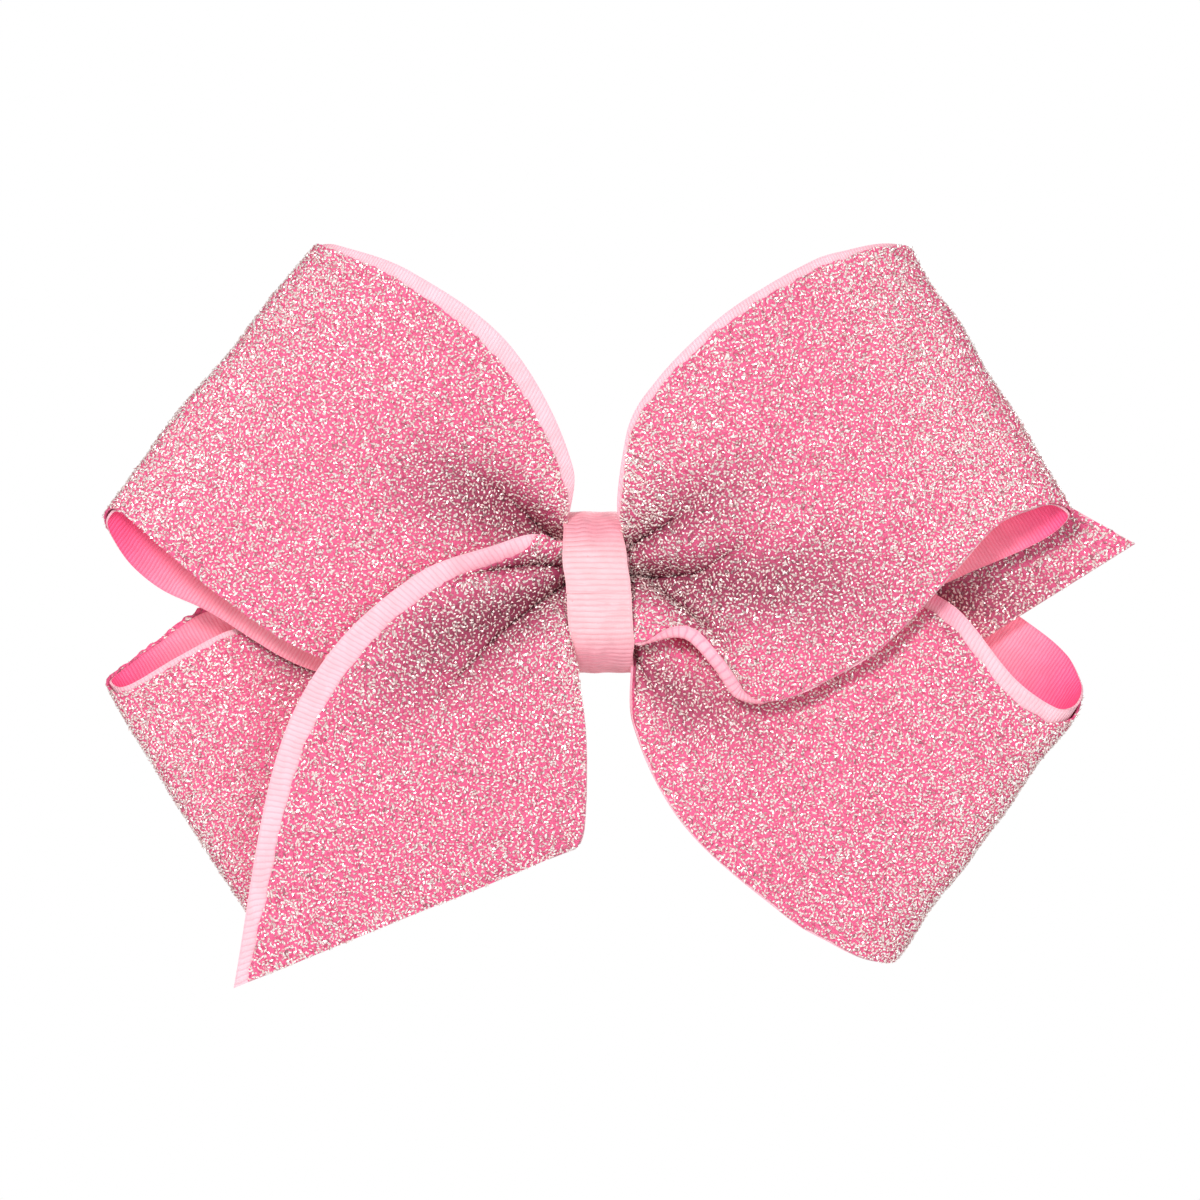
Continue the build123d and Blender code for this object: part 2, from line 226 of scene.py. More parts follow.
def ribbon_uv(tree):
    """The ribbon's own map, in millimetres."""
    node = tree.nodes.new("ShaderNodeUVMap")
    node.uv_map = "ribbon"
    return node.outputs["UV"]


def object_place(tree):
    """Where a point is on the object, in metres."""
    return tree.nodes.new("ShaderNodeTexCoord").outputs["Object"]


def noise(tree, place, scale, detail=2.0):
    """Soft clouds at these places."""
    node = tree.nodes.new("ShaderNodeTexNoise")
    node.inputs["Scale"].default_value = scale
    node.inputs["Detail"].default_value = detail
    tree.links.new(place, node.inputs["Vector"])
    return node


def dress(tree, shader, colour, rough, height=None, bump=0.0, strength=1.0):
    """Joins colour, roughness and, where there is one, the relief to the shader."""
    tree.links.new(colour, shader.inputs["Base Color"])
    if isinstance(rough, float):
        shader.inputs["Roughness"].default_value = rough
    else:
        tree.links.new(rough, shader.inputs["Roughness"])
    if height is not None:
        bumps = tree.nodes.new("ShaderNodeBump")
        bumps.inputs["Strength"].default_value = strength
        bumps.inputs["Distance"].default_value = bump
        tree.links.new(height, bumps.inputs["Height"])
        tree.links.new(bumps.outputs["Normal"], shader.inputs["Normal"])


def set_sheen(shader, weight, roughness, tint):
    """The soft shine of fibres seen edge on."""
    shader.inputs["Sheen Weight"].default_value = weight
    shader.inputs["Sheen Roughness"].default_value = roughness
    shader.inputs["Sheen Tint"].default_value = (*tint, 1.0)


# %% Floor paper
paper, paper_tree, paper_shader = new_material("floor_paper")
paper_cloud = noise(paper_tree, object_place(paper_tree), 40).outputs[0]
paper_colour = mix_colours(paper_tree, paper_cloud, (0.82, 0.82, 0.82), (0.86, 0.86, 0.86))
dress(paper_tree, paper_shader, paper_colour, 0.8)
floor.data.materials.append(paper)
print("floor takes", paper.name)

# %% [markdown]
# Grosgrain is a plain weave with thick weft: round ribs run straight across, nearly two to
# the millimetre, and fine warp threads bind them. A cosine along U is the rib, a finer one
# along V the binding threads, and a soft noise keeps any two ribs from being the same. The
# inner face is a finish of its own, with the pink light that falls on pink cloth inside a
# loop painted into its colour, and a painted glow.


# %% The rib group
def make_rib_group():
    """How high the weave stands, how far into a valley a point is, and a slow change of tone."""
    group, start, end = new_group(
        "grosgrain_ribs",
        [
            ("Vector", "NodeSocketVector", None), ("Rib pitch", "NodeSocketFloat", 0.9),
            ("Thread pitch", "NodeSocketFloat", 0.26),
        ],
        [("Height", "NodeSocketFloat"), ("Valley", "NodeSocketFloat"), ("Fade", "NodeSocketFloat")],
    )
    links = group.links
    wander = noise(group, start.outputs["Vector"], 0.35)
    parts = group.nodes.new("ShaderNodeSeparateXYZ")
    links.new(start.outputs["Vector"], parts.inputs[0])
    bent = math_node(group, "MULTIPLY_ADD", wander.outputs[0], 0.5, parts.outputs["X"])
    turns = math_node(group, "DIVIDE", bent, start.outputs["Rib pitch"])
    rib = math_node(group, "COSINE", math_node(group, "MULTIPLY", turns, 2 * math.pi))
    rib = math_node(group, "MULTIPLY_ADD", rib, 0.5, 0.5)
    round_rib = math_node(group, "POWER", rib, 0.55)
    crossing = math_node(group, "DIVIDE", parts.outputs["Y"], start.outputs["Thread pitch"])
    thread = math_node(group, "COSINE", math_node(group, "MULTIPLY", crossing, 2 * math.pi))
    links.new(math_node(group, "MULTIPLY_ADD", thread, 0.09, round_rib), end.inputs["Height"])
    links.new(smooth_step(group, round_rib, 0.0, 0.62, 1.0, 0.0), end.inputs["Valley"])
    links.new(wander.outputs[0], end.inputs["Fade"])
    return group


rib_group = make_rib_group()
print(rib_group.name, "has", len(rib_group.nodes), "nodes")


# %% Grosgrain material
GATHER_SHADE_TINT = (0.99, 0.46, 0.62)         # painted shade: cloth in a gather is tinted darker where shade falls
FOLD_SHADE_TINT = (0.96, 0.22, 0.51)           # painted shade and painted pink interreflection on the inner face near a fold
SHADED_GATHERS = ("sunk", GATHER_SHADE_TINT)


def make_grosgrain(name, ridge, valley, rib_pitch, bump, painted_shade=SHADED_GATHERS, sheen=0.15, glow=0.0):
    """Ribbed cloth; the painted-shade pair names a fact of the mesh and the tint of shade it paints in."""
    material, tree, shader = new_material(name)
    ribs = place_group(tree, rib_group, Vector=ribbon_uv(tree), Rib_pitch=rib_pitch)
    # Painted shade: the valleys between the ribs take the darker colour.
    colour = mix_colours(tree, ribs.outputs["Valley"], ridge, valley)
    cloud = smooth_step(tree, ribs.outputs["Fade"], 0.35, 0.65, 0.94, 1.03)
    colour = mix_colours(tree, 1.0, colour, cloud, "MULTIPLY")
    selvedge = smooth_step(tree, fact(tree, "edge"), 0.30, 0.50, 0.55, 0.0)
    colour = mix_colours(tree, selvedge, colour, valley)
    # Painted shade: where the named fact says shade falls, the colour is darkened by the tint.
    fact_name, tint = painted_shade
    deep = mix_colours(tree, 1.0, colour, tint, "MULTIPLY")
    colour = mix_colours(tree, fact(tree, fact_name), colour, deep)
    rough = smooth_step(tree, ribs.outputs["Valley"], 0.0, 1.0, 0.55, 0.75)
    dress(tree, shader, colour, rough, ribs.outputs["Height"], bump)
    # Painted glow: the cloth gives out its own colour as light.
    tree.links.new(colour, shader.inputs["Emission Color"])
    shader.inputs["Emission Strength"].default_value = glow
    set_sheen(shader, sheen, 0.4, (1.0, 0.86, 0.90))
    return material


INNER_PAINTED_GLOW = 0.15                        # painted glow: emission that stands in for light soaking through the cloth of a loop
RIB_PITCH = 0.58                         # along the middle; the cloth is spread wider at its edges
WRAP_RIB_PITCH = 0.95
RIB_BUMP = 0.00005
INNER_RIB_BUMP = 0.00008
grosgrain = make_grosgrain("pink_grosgrain", (0.93, 0.56, 0.63), (0.90, 0.45, 0.53), RIB_PITCH, RIB_BUMP)
# Painted light inside a loop: the inner face's deeper, stronger pinks are painted shade and painted pink
# interreflection.
inner_grosgrain = make_grosgrain(
    "inner_grosgrain", (0.95, 0.42, 0.50), (0.92, 0.29, 0.39), RIB_PITCH, INNER_RIB_BUMP,
    painted_shade=("near_fold", FOLD_SHADE_TINT), sheen=0.03, glow=INNER_PAINTED_GLOW,
)
wrap_grosgrain = make_grosgrain(
    "wrap_grosgrain", (0.90, 0.52, 0.56), (0.87, 0.43, 0.48), WRAP_RIB_PITCH, RIB_BUMP,
)
print("cloth finishes:", grosgrain.name, inner_grosgrain.name, wrap_grosgrain.name)

# %% [markdown]
# The tinsel layer is a knit of pink yarn with thin metal strips caught in it. Close up it
# is a field of short cream and silver dashes, wandering and crowded, with painted shadow in
# the gaps beside them. Cells of a Voronoi pattern, stretched along a slightly warped
# direction, give one dash each; every cell has its own random colour, so some get a painted
# glint, some stay dull and some are left out.


# %% The dash group
WANDER = 1.6                             # how far a dash is pushed out of line, in millimetres


def make_dash_group():
    """Where the dashes lie, each one's random tone, and the gaps between them that get painted shadow."""
    group, start, end = new_group(
        "tinsel_dashes",
        [
            ("Vector", "NodeSocketVector", None), ("Length", "NodeSocketFloat", 0.62),
            ("Width", "NodeSocketFloat", 0.36), ("Share", "NodeSocketFloat", 0.7),
        ],
        [("Mask", "NodeSocketFloat"), ("Tone", "NodeSocketFloat"), ("Gap", "NodeSocketFloat")],
    )
    nodes, links = group.nodes, group.links
    warp = noise(group, start.outputs["Vector"], 0.9, 1.0)
    centred = nodes.new("ShaderNodeVectorMath")
    centred.operation = "SUBTRACT"
    links.new(warp.outputs["Color"], centred.inputs[0])
    centred.inputs[1].default_value = (0.5, 0.5, 0.5)
    push = nodes.new("ShaderNodeVectorMath")
    push.operation = "MULTIPLY_ADD"
    links.new(centred.outputs[0], push.inputs[0])
    push.inputs[1].default_value = (WANDER, WANDER, 0.0)
    links.new(start.outputs["Vector"], push.inputs[2])
    parts = nodes.new("ShaderNodeSeparateXYZ")
    links.new(push.outputs[0], parts.inputs[0])
    cell = nodes.new("ShaderNodeCombineXYZ")
    for axis, size in (("X", "Length"), ("Y", "Width")):
        links.new(math_node(group, "DIVIDE", parts.outputs[axis], start.outputs[size]), cell.inputs[axis])
    cells = nodes.new("ShaderNodeTexVoronoi")
    cells.voronoi_dimensions = "2D"
    cells.inputs["Scale"].default_value = 1.0
    links.new(cell.outputs[0], cells.inputs["Vector"])
    colour = nodes.new("ShaderNodeSeparateColor")
    links.new(cells.outputs["Color"], colour.inputs[0])
    body = smooth_step(group, cells.outputs["Distance"], 0.30, 0.46, 1.0, 0.0)
    kept = math_node(group, "LESS_THAN", colour.outputs[0], start.outputs["Share"])
    links.new(math_node(group, "MULTIPLY", body, kept), end.inputs["Mask"])
    links.new(colour.outputs[1], end.inputs["Tone"])
    links.new(smooth_step(group, cells.outputs["Distance"], 0.50, 0.75), end.inputs["Gap"])
    return group


dash_group = make_dash_group()
print(dash_group.name, "has", len(dash_group.nodes), "nodes")


# %% Tinsel knit material
# Painted shade: knit in a gather is darkened by this tint.
KNIT_GATHER_SHADE_TINT = (0.17, 0.07, 0.11)
# Painted shadow: the yarn darkens to YARN_SHADE in the gaps beside the large dashes. The cream is the
# metal's own colour; how bright each dash gets by its random tone is a painted glint.
YARN_PINK = (0.80, 0.108, 0.258)
YARN_SHADE = (0.60, 0.060, 0.165)
DASH_CREAM = (0.95, 0.72, 0.70)
DASH_DULL = (0.42, 0.15, 0.19)
SMALL_DASH_SHOWS = 0.35                  # the small dashes lie under the yarn
KNIT_BUMP = 0.00012


def make_tinsel_knit():
    """Pink yarn with large metal dashes on it and small ones half hidden in it."""
    material, tree, shader = new_material("tinsel_knit")
    uv = ribbon_uv(tree)
    large = place_group(tree, dash_group, Vector=uv, Length=0.75, Width=0.50, Share=0.20)
    small = place_group(tree, dash_group, Vector=uv, Length=0.42, Width=0.36, Share=0.30)
    # Painted shadow in the gaps beside the large dashes.
    yarn = mix_colours(tree, large.outputs["Gap"], YARN_PINK, YARN_SHADE)
    # Painted glints: a dash's random tone brightens it from dull rose to cream, on small and large dashes
    # alike.
    dull = smooth_step(tree, small.outputs["Tone"], 0.2, 0.9)
    small_colour = mix_colours(tree, dull, DASH_DULL, DASH_CREAM)
    shows = math_node(tree, "MULTIPLY", small.outputs["Mask"], SMALL_DASH_SHOWS)
    yarn = mix_colours(tree, shows, yarn, small_colour)
    bright = smooth_step(tree, large.outputs["Tone"], 0.1, 0.6)
    dash_colour = mix_colours(tree, bright, DASH_DULL, DASH_CREAM)
    colour = mix_colours(tree, large.outputs["Mask"], yarn, dash_colour)
    # Painted shade in the gathers.
    deep = mix_colours(tree, 1.0, colour, KNIT_GATHER_SHADE_TINT, "MULTIPLY")
    colour = mix_colours(tree, fact(tree, "sunk"), colour, deep)
    metal = math_node(tree, "MULTIPLY", large.outputs["Mask"], 0.45)
    tree.links.new(metal, shader.inputs["Metallic"])
    rough = smooth_step(tree, large.outputs["Mask"], 0.0, 1.0, 0.7, 0.32)
    relief = math_node(tree, "MULTIPLY_ADD", small.outputs["Mask"], 0.6, large.outputs["Mask"])
    dress(tree, shader, colour, rough, relief, KNIT_BUMP)
    set_sheen(shader, 0.12, 0.35, (1.0, 0.88, 0.84))
    return material


tinsel_knit = make_tinsel_knit()
print("knit finish:", tinsel_knit.name)


# %% Loose tinsel material
# Painted glints: a grain's random tone picks its brightness from these.
GRAIN_TONES = ((0.0, (0.55, 0.25, 0.28)), (0.40, (0.92, 0.74, 0.70)), (1.0, (1.0, 0.97, 0.94)))


def make_tinsel_grain():
    """Metal strip: each grain's random tone, from dull rose to bright cream, is a painted glint on the
    metal's own cream.
    """
    material, tree, shader = new_material("tinsel_grain")
    tone = fact(tree, "tone")
    ramp = tree.nodes.new("ShaderNodeValToRGB")
    stops = ramp.color_ramp.elements
    stops.new(GRAIN_TONES[1][0])
    for stop, (place, colour) in zip(stops, GRAIN_TONES):
        stop.position = place
        stop.color = (*colour, 1)
    tree.links.new(tone, ramp.inputs["Fac"])
    dress(tree, shader, ramp.outputs["Color"], smooth_step(tree, tone, 0.0, 1.0, 0.5, 0.22))
    shader.inputs["Metallic"].default_value = 0.5
    return material


tinsel_grain = make_tinsel_grain()
print("grain finish:", tinsel_grain.name)

# %% [markdown]
# ## The ribbon
# A stretch of ribbon is set by rows of two points, one on its lower edge and one on its
# upper edge. A smooth curve runs through each edge and straight lines join them: that is
# how a strip of cloth bends. Rows are (x, depth, z) in millimetres, and depth is measured
# from the clip's jaw gap towards the viewer. Loops run from the knot along the front layer,
# round the fold and back to the knot behind.

# %% Rows of the loops and tails
RIBBON_WIDTH = 57.0
BASE_THICKNESS = 0.4
KNIT_THICKNESS = 0.36

UNDER_WRAP = 3.0
ROOT = 6.1
FIRST, SECOND, THIRD, FOURTH, FIFTH = 19.3, 16.2, 13.1, 10.0, 6.9

STRETCHES = {
    "upper_left_loop": [
        ((-UNDER_WRAP, SECOND, -8.5), (-UNDER_WRAP, SECOND, 6.2)),
        ((-ROOT, SECOND, -9.5), (-5.4, SECOND + 0.6, 8.4)),
        ((-24.0, 16.6, -13.5), (-4.2, 19.0, 21.0)),
        ((-45.3, 19.6, -11.4), (-14.6, 21.5, 41.3)),
        ((-63.7, 20.5, -0.4), (-31.4, 20.5, 53.9)),
        ((-78.7, 18.0, 12.3), (-43.6, 16.5, 58.4)),
        ((-81.6, 16.6, 14.0), (-46.2, 14.8, 58.8)),
        ((-83.0, 14.8, 12.2), (-47.2, 13.0, 58.4)),
        ((-81.6, 12.8, 8.8), (-46.0, 11.0, 57.4)),
        ((-78.5, 11.4, 4.5), (-43.0, 9.4, 55.6)),
        ((-73.5, 11.0, 0.5), (-38.5, 8.3, 53.2)),
        ((-66.6, 11.2, -2.7), (-33.0, 7.6, 50.0)),
        ((-47.0, 11.4, -13.4), (-17.0, 8.0, 40.0)),
        ((-24.0, 12.4, -14.0), (-6.9, 10.5, 21.0)),
        ((-ROOT, THIRD, -10.0), (-ROOT, THIRD, 9.0)),
        ((-UNDER_WRAP, THIRD, -9.0), (-UNDER_WRAP, THIRD, 8.0)),
    ],
    "lower_left_loop": [
        ((-UNDER_WRAP, FOURTH, -9.0), (-UNDER_WRAP, FOURTH, 6.0)),
        ((-ROOT, FOURTH, -9.6), (-ROOT, FOURTH, 6.0)),
        ((-10.0, 11.6, -26.0), (-24.0, 9.4, 2.0)),
        ((-22.0, 13.2, -45.0), (-45.0, 8.7, -2.5)),
        ((-38.0, 13.0, -55.0), (-61.8, 8.3, -6.2)),
        ((-45.5, 12.6, -58.6), (-71.0, 8.6, -10.8)),
        ((-50.0, 11.8, -60.6), (-78.3, 8.0, -15.1)),
        ((-52.2, 10.6, -61.8), (-81.3, 7.0, -16.1)),
        ((-53.6, 8.6, -62.0), (-82.9, 5.2, -15.4)),
        ((-52.6, 6.6, -60.6), (-81.6, 3.4, -13.9)),
        ((-50.0, 4.9, -58.4), (-78.3, 2.2, -11.4)),
        ((-44.5, 3.8, -55.4), (-73.6, 2.0, -8.0)),
        ((-38.0, 3.2, -53.0), (-66.9, 2.2, -3.4)),
        ((-23.0, 3.2, -43.5), (-47.0, 4.6, 2.0)),
        ((-10.0, 4.8, -25.0), (-24.0, 6.0, 5.0)),
        ((-ROOT, FIFTH, -8.6), (-ROOT, FIFTH, 8.0)),
        ((-UNDER_WRAP, FIFTH, -8.6), (-UNDER_WRAP, FIFTH, 8.0)),
    ],
    "upper_right_loop": [
        ((UNDER_WRAP, FIRST, -8.0), (UNDER_WRAP, FIRST, 6.0)),
        ((ROOT, FIRST + 0.6, -8.7), (5.2, FIRST + 0.4, 7.0)),
        ((14.6, 21.3, -7.2), (3.2, 21.0, 13.5)),
        ((19.6, 21.9, -12.1), (3.6, 21.5, 20.0)),
        ((23.4, 22.2, -17.3), (5.2, 22.2, 28.4)),
        ((30.5, 23.2, -18.0), (9.3, 23.2, 35.0)),
        ((39.3, 23.2, -14.3), (15.3, 23.4, 41.6)),
        ((48.2, 22.5, -8.7), (23.1, 22.5, 48.2)),
        ((60.2, 21.5, 3.9), (36.2, 19.8, 55.9)),
        ((67.0, 20.8, 11.3), (42.0, 18.6, 57.6)),
        ((72.7, 19.8, 13.9), (46.8, 17.2, 58.6)),
        ((76.6, 18.4, 14.9), (50.2, 15.4, 58.6)),
        ((79.3, 16.4, 13.4), (51.8, 13.6, 57.9)),
        ((78.0, 14.4, 11.2), (50.6, 11.8, 56.8)),
        ((73.9, 12.9, 8.4), (46.6, 10.4, 54.2)),
        ((64.0, 11.8, 4.0), (36.0, 9.0, 50.0)),
        ((45.0, 11.6, -4.0), (20.0, 9.2, 40.0)),
        ((22.0, 12.3, -9.0), (6.9, 10.8, 21.0)),
        ((ROOT, THIRD, -9.0), (ROOT, THIRD, 9.0)),
        ((UNDER_WRAP, THIRD, -9.0), (UNDER_WRAP, THIRD, 8.0)),
    ],
    "lower_right_loop": [
        ((UNDER_WRAP, SECOND, -8.4), (UNDER_WRAP, SECOND, 2.0)),
        ((ROOT - 0.4, SECOND + 1.0, -9.2), (ROOT + 0.6, SECOND - 0.6, -1.0)),
        ((5.9, 18.0, -22.0), (22.0, 14.2, 0.5)),
        ((14.2, 18.3, -38.9), (43.0, 15.8, 4.0)),
        ((31.5, 17.0, -54.4), (59.5, 16.2, -2.0)),
        ((39.0, 15.8, -58.9), (70.3, 15.4, -14.6)),
        ((44.0, 14.6, -61.4), (77.2, 14.0, -19.4)),
        ((47.2, 12.8, -62.2), (80.5, 12.2, -19.1)),
        ((49.2, 10.6, -61.8), (81.9, 10.0, -16.8)),
        ((48.6, 8.4, -60.3), (81.4, 7.8, -14.4)),
        ((46.6, 6.4, -58.2), (79.4, 6.0, -10.7)),
        ((41.0, 5.0, -55.0), (74.6, 4.9, -6.4)),
        ((31.5, 4.4, -51.0), (66.0, 4.6, -1.0)),
        ((15.0, 4.4, -37.0), (45.0, 5.2, 6.0)),
        ((7.4, 5.6, -22.0), (24.0, 6.2, 8.0)),
        ((ROOT, FIFTH, -8.6), (ROOT, FIFTH, 8.0)),
        ((UNDER_WRAP, FIFTH, -8.6), (UNDER_WRAP, FIFTH, 8.0)),
    ],
    "front_tail": [
        ((-UNDER_WRAP, FIRST, -8.4), (-UNDER_WRAP, FIRST, 7.0)),
        ((-5.0, FIRST + 0.7, -9.4), (-ROOT, FIRST + 0.4, 8.2)),
        ((-4.0, 20.8, -12.0), (-10.4, 21.4, 9.9)),
        ((-3.0, 21.0, -16.0), (-17.0, 22.6, 8.1)),
        ((-2.0, 20.6, -24.0), (-30.0, 24.0, 3.4)),
        ((-1.9, 19.3, -33.0), (-45.0, 24.0, -10.0)),
        ((-2.4, 18.6, -40.5), (-54.2, 21.0, -28.3)),
        ((-4.0, 18.4, -43.0), (-61.3, 17.0, -66.5)),
    ],
    "rear_tail": [
        ((UNDER_WRAP, FOURTH, -9.0), (UNDER_WRAP, FOURTH, 8.0)),
        ((ROOT, FOURTH, -9.0), (ROOT, FOURTH, 8.0)),
        ((16.0, 9.4, -16.0), (24.0, 9.0, 21.0)),
        ((26.0, 9.2, -22.0), (50.0, 8.4, 25.5)),
        ((31.0, 9.2, -25.5), (72.0, 8.2, 18.3)),
        ((34.0, 9.1, -27.2), (90.7, 8.0, 8.3)),
    ],
}
print("rows:", {name: len(rows) for name, rows in STRETCHES.items()})

# %% [markdown]
# The gathers are valleys that start at the knot and fade outwards. Each is a short line of
# (x, z) points with a depth and a width, and it may be steeper on one side than the other,
# as where one fold of cloth leans over the next. They press the front layer back only, and
# paint shade into its colour along them.

# %% A crease runs along the bottom of each valley
CREASE_WIDTH = 0.5
CREASE_DEPTH = 0.9
FANNING = 2.2                           # a valley is wider by this share of its width at its far end
VALLEY_SHARPNESS = 1.4                  # 1 is a ridge line, 2 a round trough
SHADE_SPREAD, SHADE_SHARPNESS = 1.1, 1.2

# %% Valleys of the front layers: line, depth, (width left of the line, width right of it)
VALLEYS = {
    "upper_left_loop": [
        ([(-4.5, 7.0), (-9.0, 10.5), (-16.4, 17.3), (-29.0, 23.0)], 4.4, (4.0, 1.1)),
    ],
    "front_tail": [
        ([(-4.0, 4.3), (-11.0, 4.8), (-21.5, 3.2), (-31.0, -3.0)], 3.6, (0.9, 1.2)),
        ([(-4.0, 2.6), (-10.0, -1.6), (-16.4, -6.6), (-28.2, -18.9), (-37.0, -28.0)], 4.4, (2.6, 1.8)),
    ],
    "upper_right_loop": [
        ([(3.0, 6.3), (6.0, 8.2), (11.2, 11.4), (24.0, 20.0)], 4.0, (2.8, 1.4)),
        ([(3.0, 3.0), (10.0, 2.7), (17.1, 3.5), (23.8, 8.0), (36.0, 15.0)], 4.2, (1.7, 1.7)),
        ([(9.0, 1.4), (12.5, -1.2), (18.0, -5.6), (22.0, -10.0), (27.0, -14.0)], 4.2, (3.6, 1.0)),
    ],
    "lower_right_loop": [
        ([(4.5, -6.0), (7.0, -12.0), (12.0, -22.0)], 1.6, (1.6, 1.2)),
    ],
}

# %% Soft troughs beyond the valleys: line, depth, half width, how much painted shade the cloth gets
# A trough of depth 0 presses nothing and only paints shade.
TROUGHS = {
    "upper_left_loop": [
        ([(-6.0, 9.0), (-18.0, 15.0), (-44.0, 26.0)], 1.2, 9.0, 0.72),
        ([(-4.0, 2.6), (-16.4, -6.6), (-40.0, -30.0)], 3.4, 6.5, 0.55),
    ],
    "lower_left_loop": [([(-42.0, -4.0), (-52.0, -10.0), (-70.0, -16.0)], 0.5, 11.0, 1.0)],
    "upper_right_loop": [
        ([(5.0, 7.0), (16.0, 14.0), (36.0, 26.0)], 0.8, 8.0, 0.6),
        ([(5.0, 3.0), (25.0, 1.0), (43.0, 2.0), (66.0, 7.0)], 1.2, 9.5, 0.72),
    ],
    "lower_right_loop": [
        ([(4.0, -10.0), (16.0, -19.0), (40.0, -22.0)], 0.5, 7.0, 0.65),
        ([(6.0, 2.0), (18.0, -5.6), (34.0, -18.0)], 1.8, 6.5, 0.5),
        ([(56.0, 0.0), (60.0, -4.0), (66.0, -9.0)], 0.0, 4.0, 1.5),
    ],
    "front_tail": [([(-6.0, 1.0), (-26.0, -7.0), (-46.0, -28.0)], 0.5, 8.5, 0.78)],
    "rear_tail": [([(48.0, 4.0), (60.0, -2.0), (92.0, 2.0)], 0.0, 9.0, 0.7)],
}

# %% [markdown]
# One lower edge is rolled forwards, so that a lip of the plain inner face shows along it.
# The roll starts and ends in nothing. All the other edges lie flat.

# %% The rolled edge
ROLLED = "upper_right_loop"
ROLL_RADIUS = 0.8
ROLL_LENGTH = 3.8                       # cloth taken up by the roll where it is fullest
ROLL_SETTLES = 7.0                      # the cloth lies flat again this far from the roll
FLAP_RISE = 0.25                        # slope of the lip's flat part
ROLL_SPAN = (6.5, 16.0, 22.5, 28.5)     # it starts, is full, is still full, and ends: mm from the middle

# %% Uncovered margins along the upper and the lower edge: (row number, mm)
UPPER_MARGINS = {
    "upper_left_loop": [
        (0, 0.4), (1, 0.4), (1.4, 2.2), (2, 3.2), (3, 3.4), (4, 2.4), (5, 1.2), (7, 0.1),
        (11, 0.7), (15, 0.7),
    ],
    "lower_left_loop": [(0, 0.8), (4, 1.0), (7.5, 0.9), (8.3, -0.5), (12, -0.9), (13, 0.6), (16, 0.8)],
    "upper_right_loop": [(0, 0.8), (3, 1.5), (8, 1.7), (12, 0.3), (15, 0.7), (19, 0.7)],
    "lower_right_loop": [(0, 1.5), (3, 2.8), (6, 2.9), (7.4, 2.4), (8.4, 1.2), (10, 0.9), (16, 0.9)],
    "front_tail": [
        (0, 0.0), (1.9, 0.0), (2.15, 1.6), (2.4, 2.5), (3, 2.9), (4, 3.6), (5, 4.5), (6, 3.8), (7, 2.5),
    ],
    "rear_tail": [(0, 0.3), (5, 0.1)],
}
LOWER_MARGINS = {
    "upper_left_loop": [(0, 0.3), (3, 0.0), (7, 0.0), (9, 0.5), (15, 0.4)],
    "lower_left_loop": [(0, 0.3), (6, 0.3), (8, 0.1), (16, 0.4)],
    "upper_right_loop": [(0, 0.3), (8, 0.3), (12, 0.1), (19, 0.4)],
    "lower_right_loop": [(0, 0.3), (6, 0.4), (8, 0.1), (16, 0.4)],
    "front_tail": [(0, 0.3), (7, 0.3)],
    "rear_tail": [(0, 0.3), (5, 0.3)],
}

# %% Folds and fullness
FOLD_ROW = {"upper_left_loop": 7, "lower_left_loop": 8, "upper_right_loop": 12, "lower_right_loop": 8}
BULGE = {
    "upper_left_loop": 1.8, "lower_left_loop": 1.2, "upper_right_loop": 2.0,
    "lower_right_loop": 1.3, "front_tail": 1.4, "rear_tail": 0.6,
}                                       # how far the middle stands out, in millimetres
REAR_BULGE = 0.8
TAIL_FULLNESS = 0.7                     # below 1, a tail is full nearly to its ends
WAVE_HEIGHT, WAVE_PITCH = 0.28, 16      # the soft unevenness of real cloth
WAVE_START = (4, 25)                    # it fades in over this stretch from the knot
PLEAT_DEPTH, PLEAT_REACH = 0.75, 15.0   # small pleats beside the knot
PLEAT_COUNT, PLEAT_SHIFT = 3.4, 0.2
FRONT_ENDS = (40, 15)                   # valleys fade out between these distances from the fold
print("fold rows:", FOLD_ROW)


# %% Curves and small waves
def ease(value, low, high):
    """0 below low, 1 above high, and smooth between them."""
    share = np.clip((value - low) / (high - low), 0, 1)
    return share * share * (3 - 2 * share)


def waves(u, v, pitch, seed):
    """Gentle random waves between about -1 and 1, this many millimetres apart."""
    chance = np.random.default_rng(seed)
    total = np.zeros(np.broadcast(u, v).shape)
    for _ in range(6):
        angle, phase, stretch = chance.uniform(0, 2 * math.pi, 3)
        turn = 2 * math.pi / (pitch * (0.7 + 0.12 * stretch))
        total = total + np.sin(turn * (u * math.cos(angle) + v * math.sin(angle)) + phase)
    return total / 3


def smooth_curve(points, distances, places):
    """The smooth curve through the points, read at places along it."""
    last = len(points) - 1
    index = np.arange(last + 1)
    before, after = np.maximum(index - 1, 0), np.minimum(index + 1, last)
    speeds = (points[after] - points[before]) / (distances[after] - distances[before])[:, None]
    span = np.clip(np.searchsorted(distances, places, side="right") - 1, 0, last - 1)
    length = distances[span + 1] - distances[span]
    f = ((places - distances[span]) / length)[:, None]
    length = length[:, None]
    return (
        (1 + 2 * f) * (1 - f) ** 2 * points[span]
        + f * (1 - f) ** 2 * length * speeds[span]
        + f * f * (3 - 2 * f) * points[span + 1]
        - f * f * (1 - f) * length * speeds[span + 1]
    )


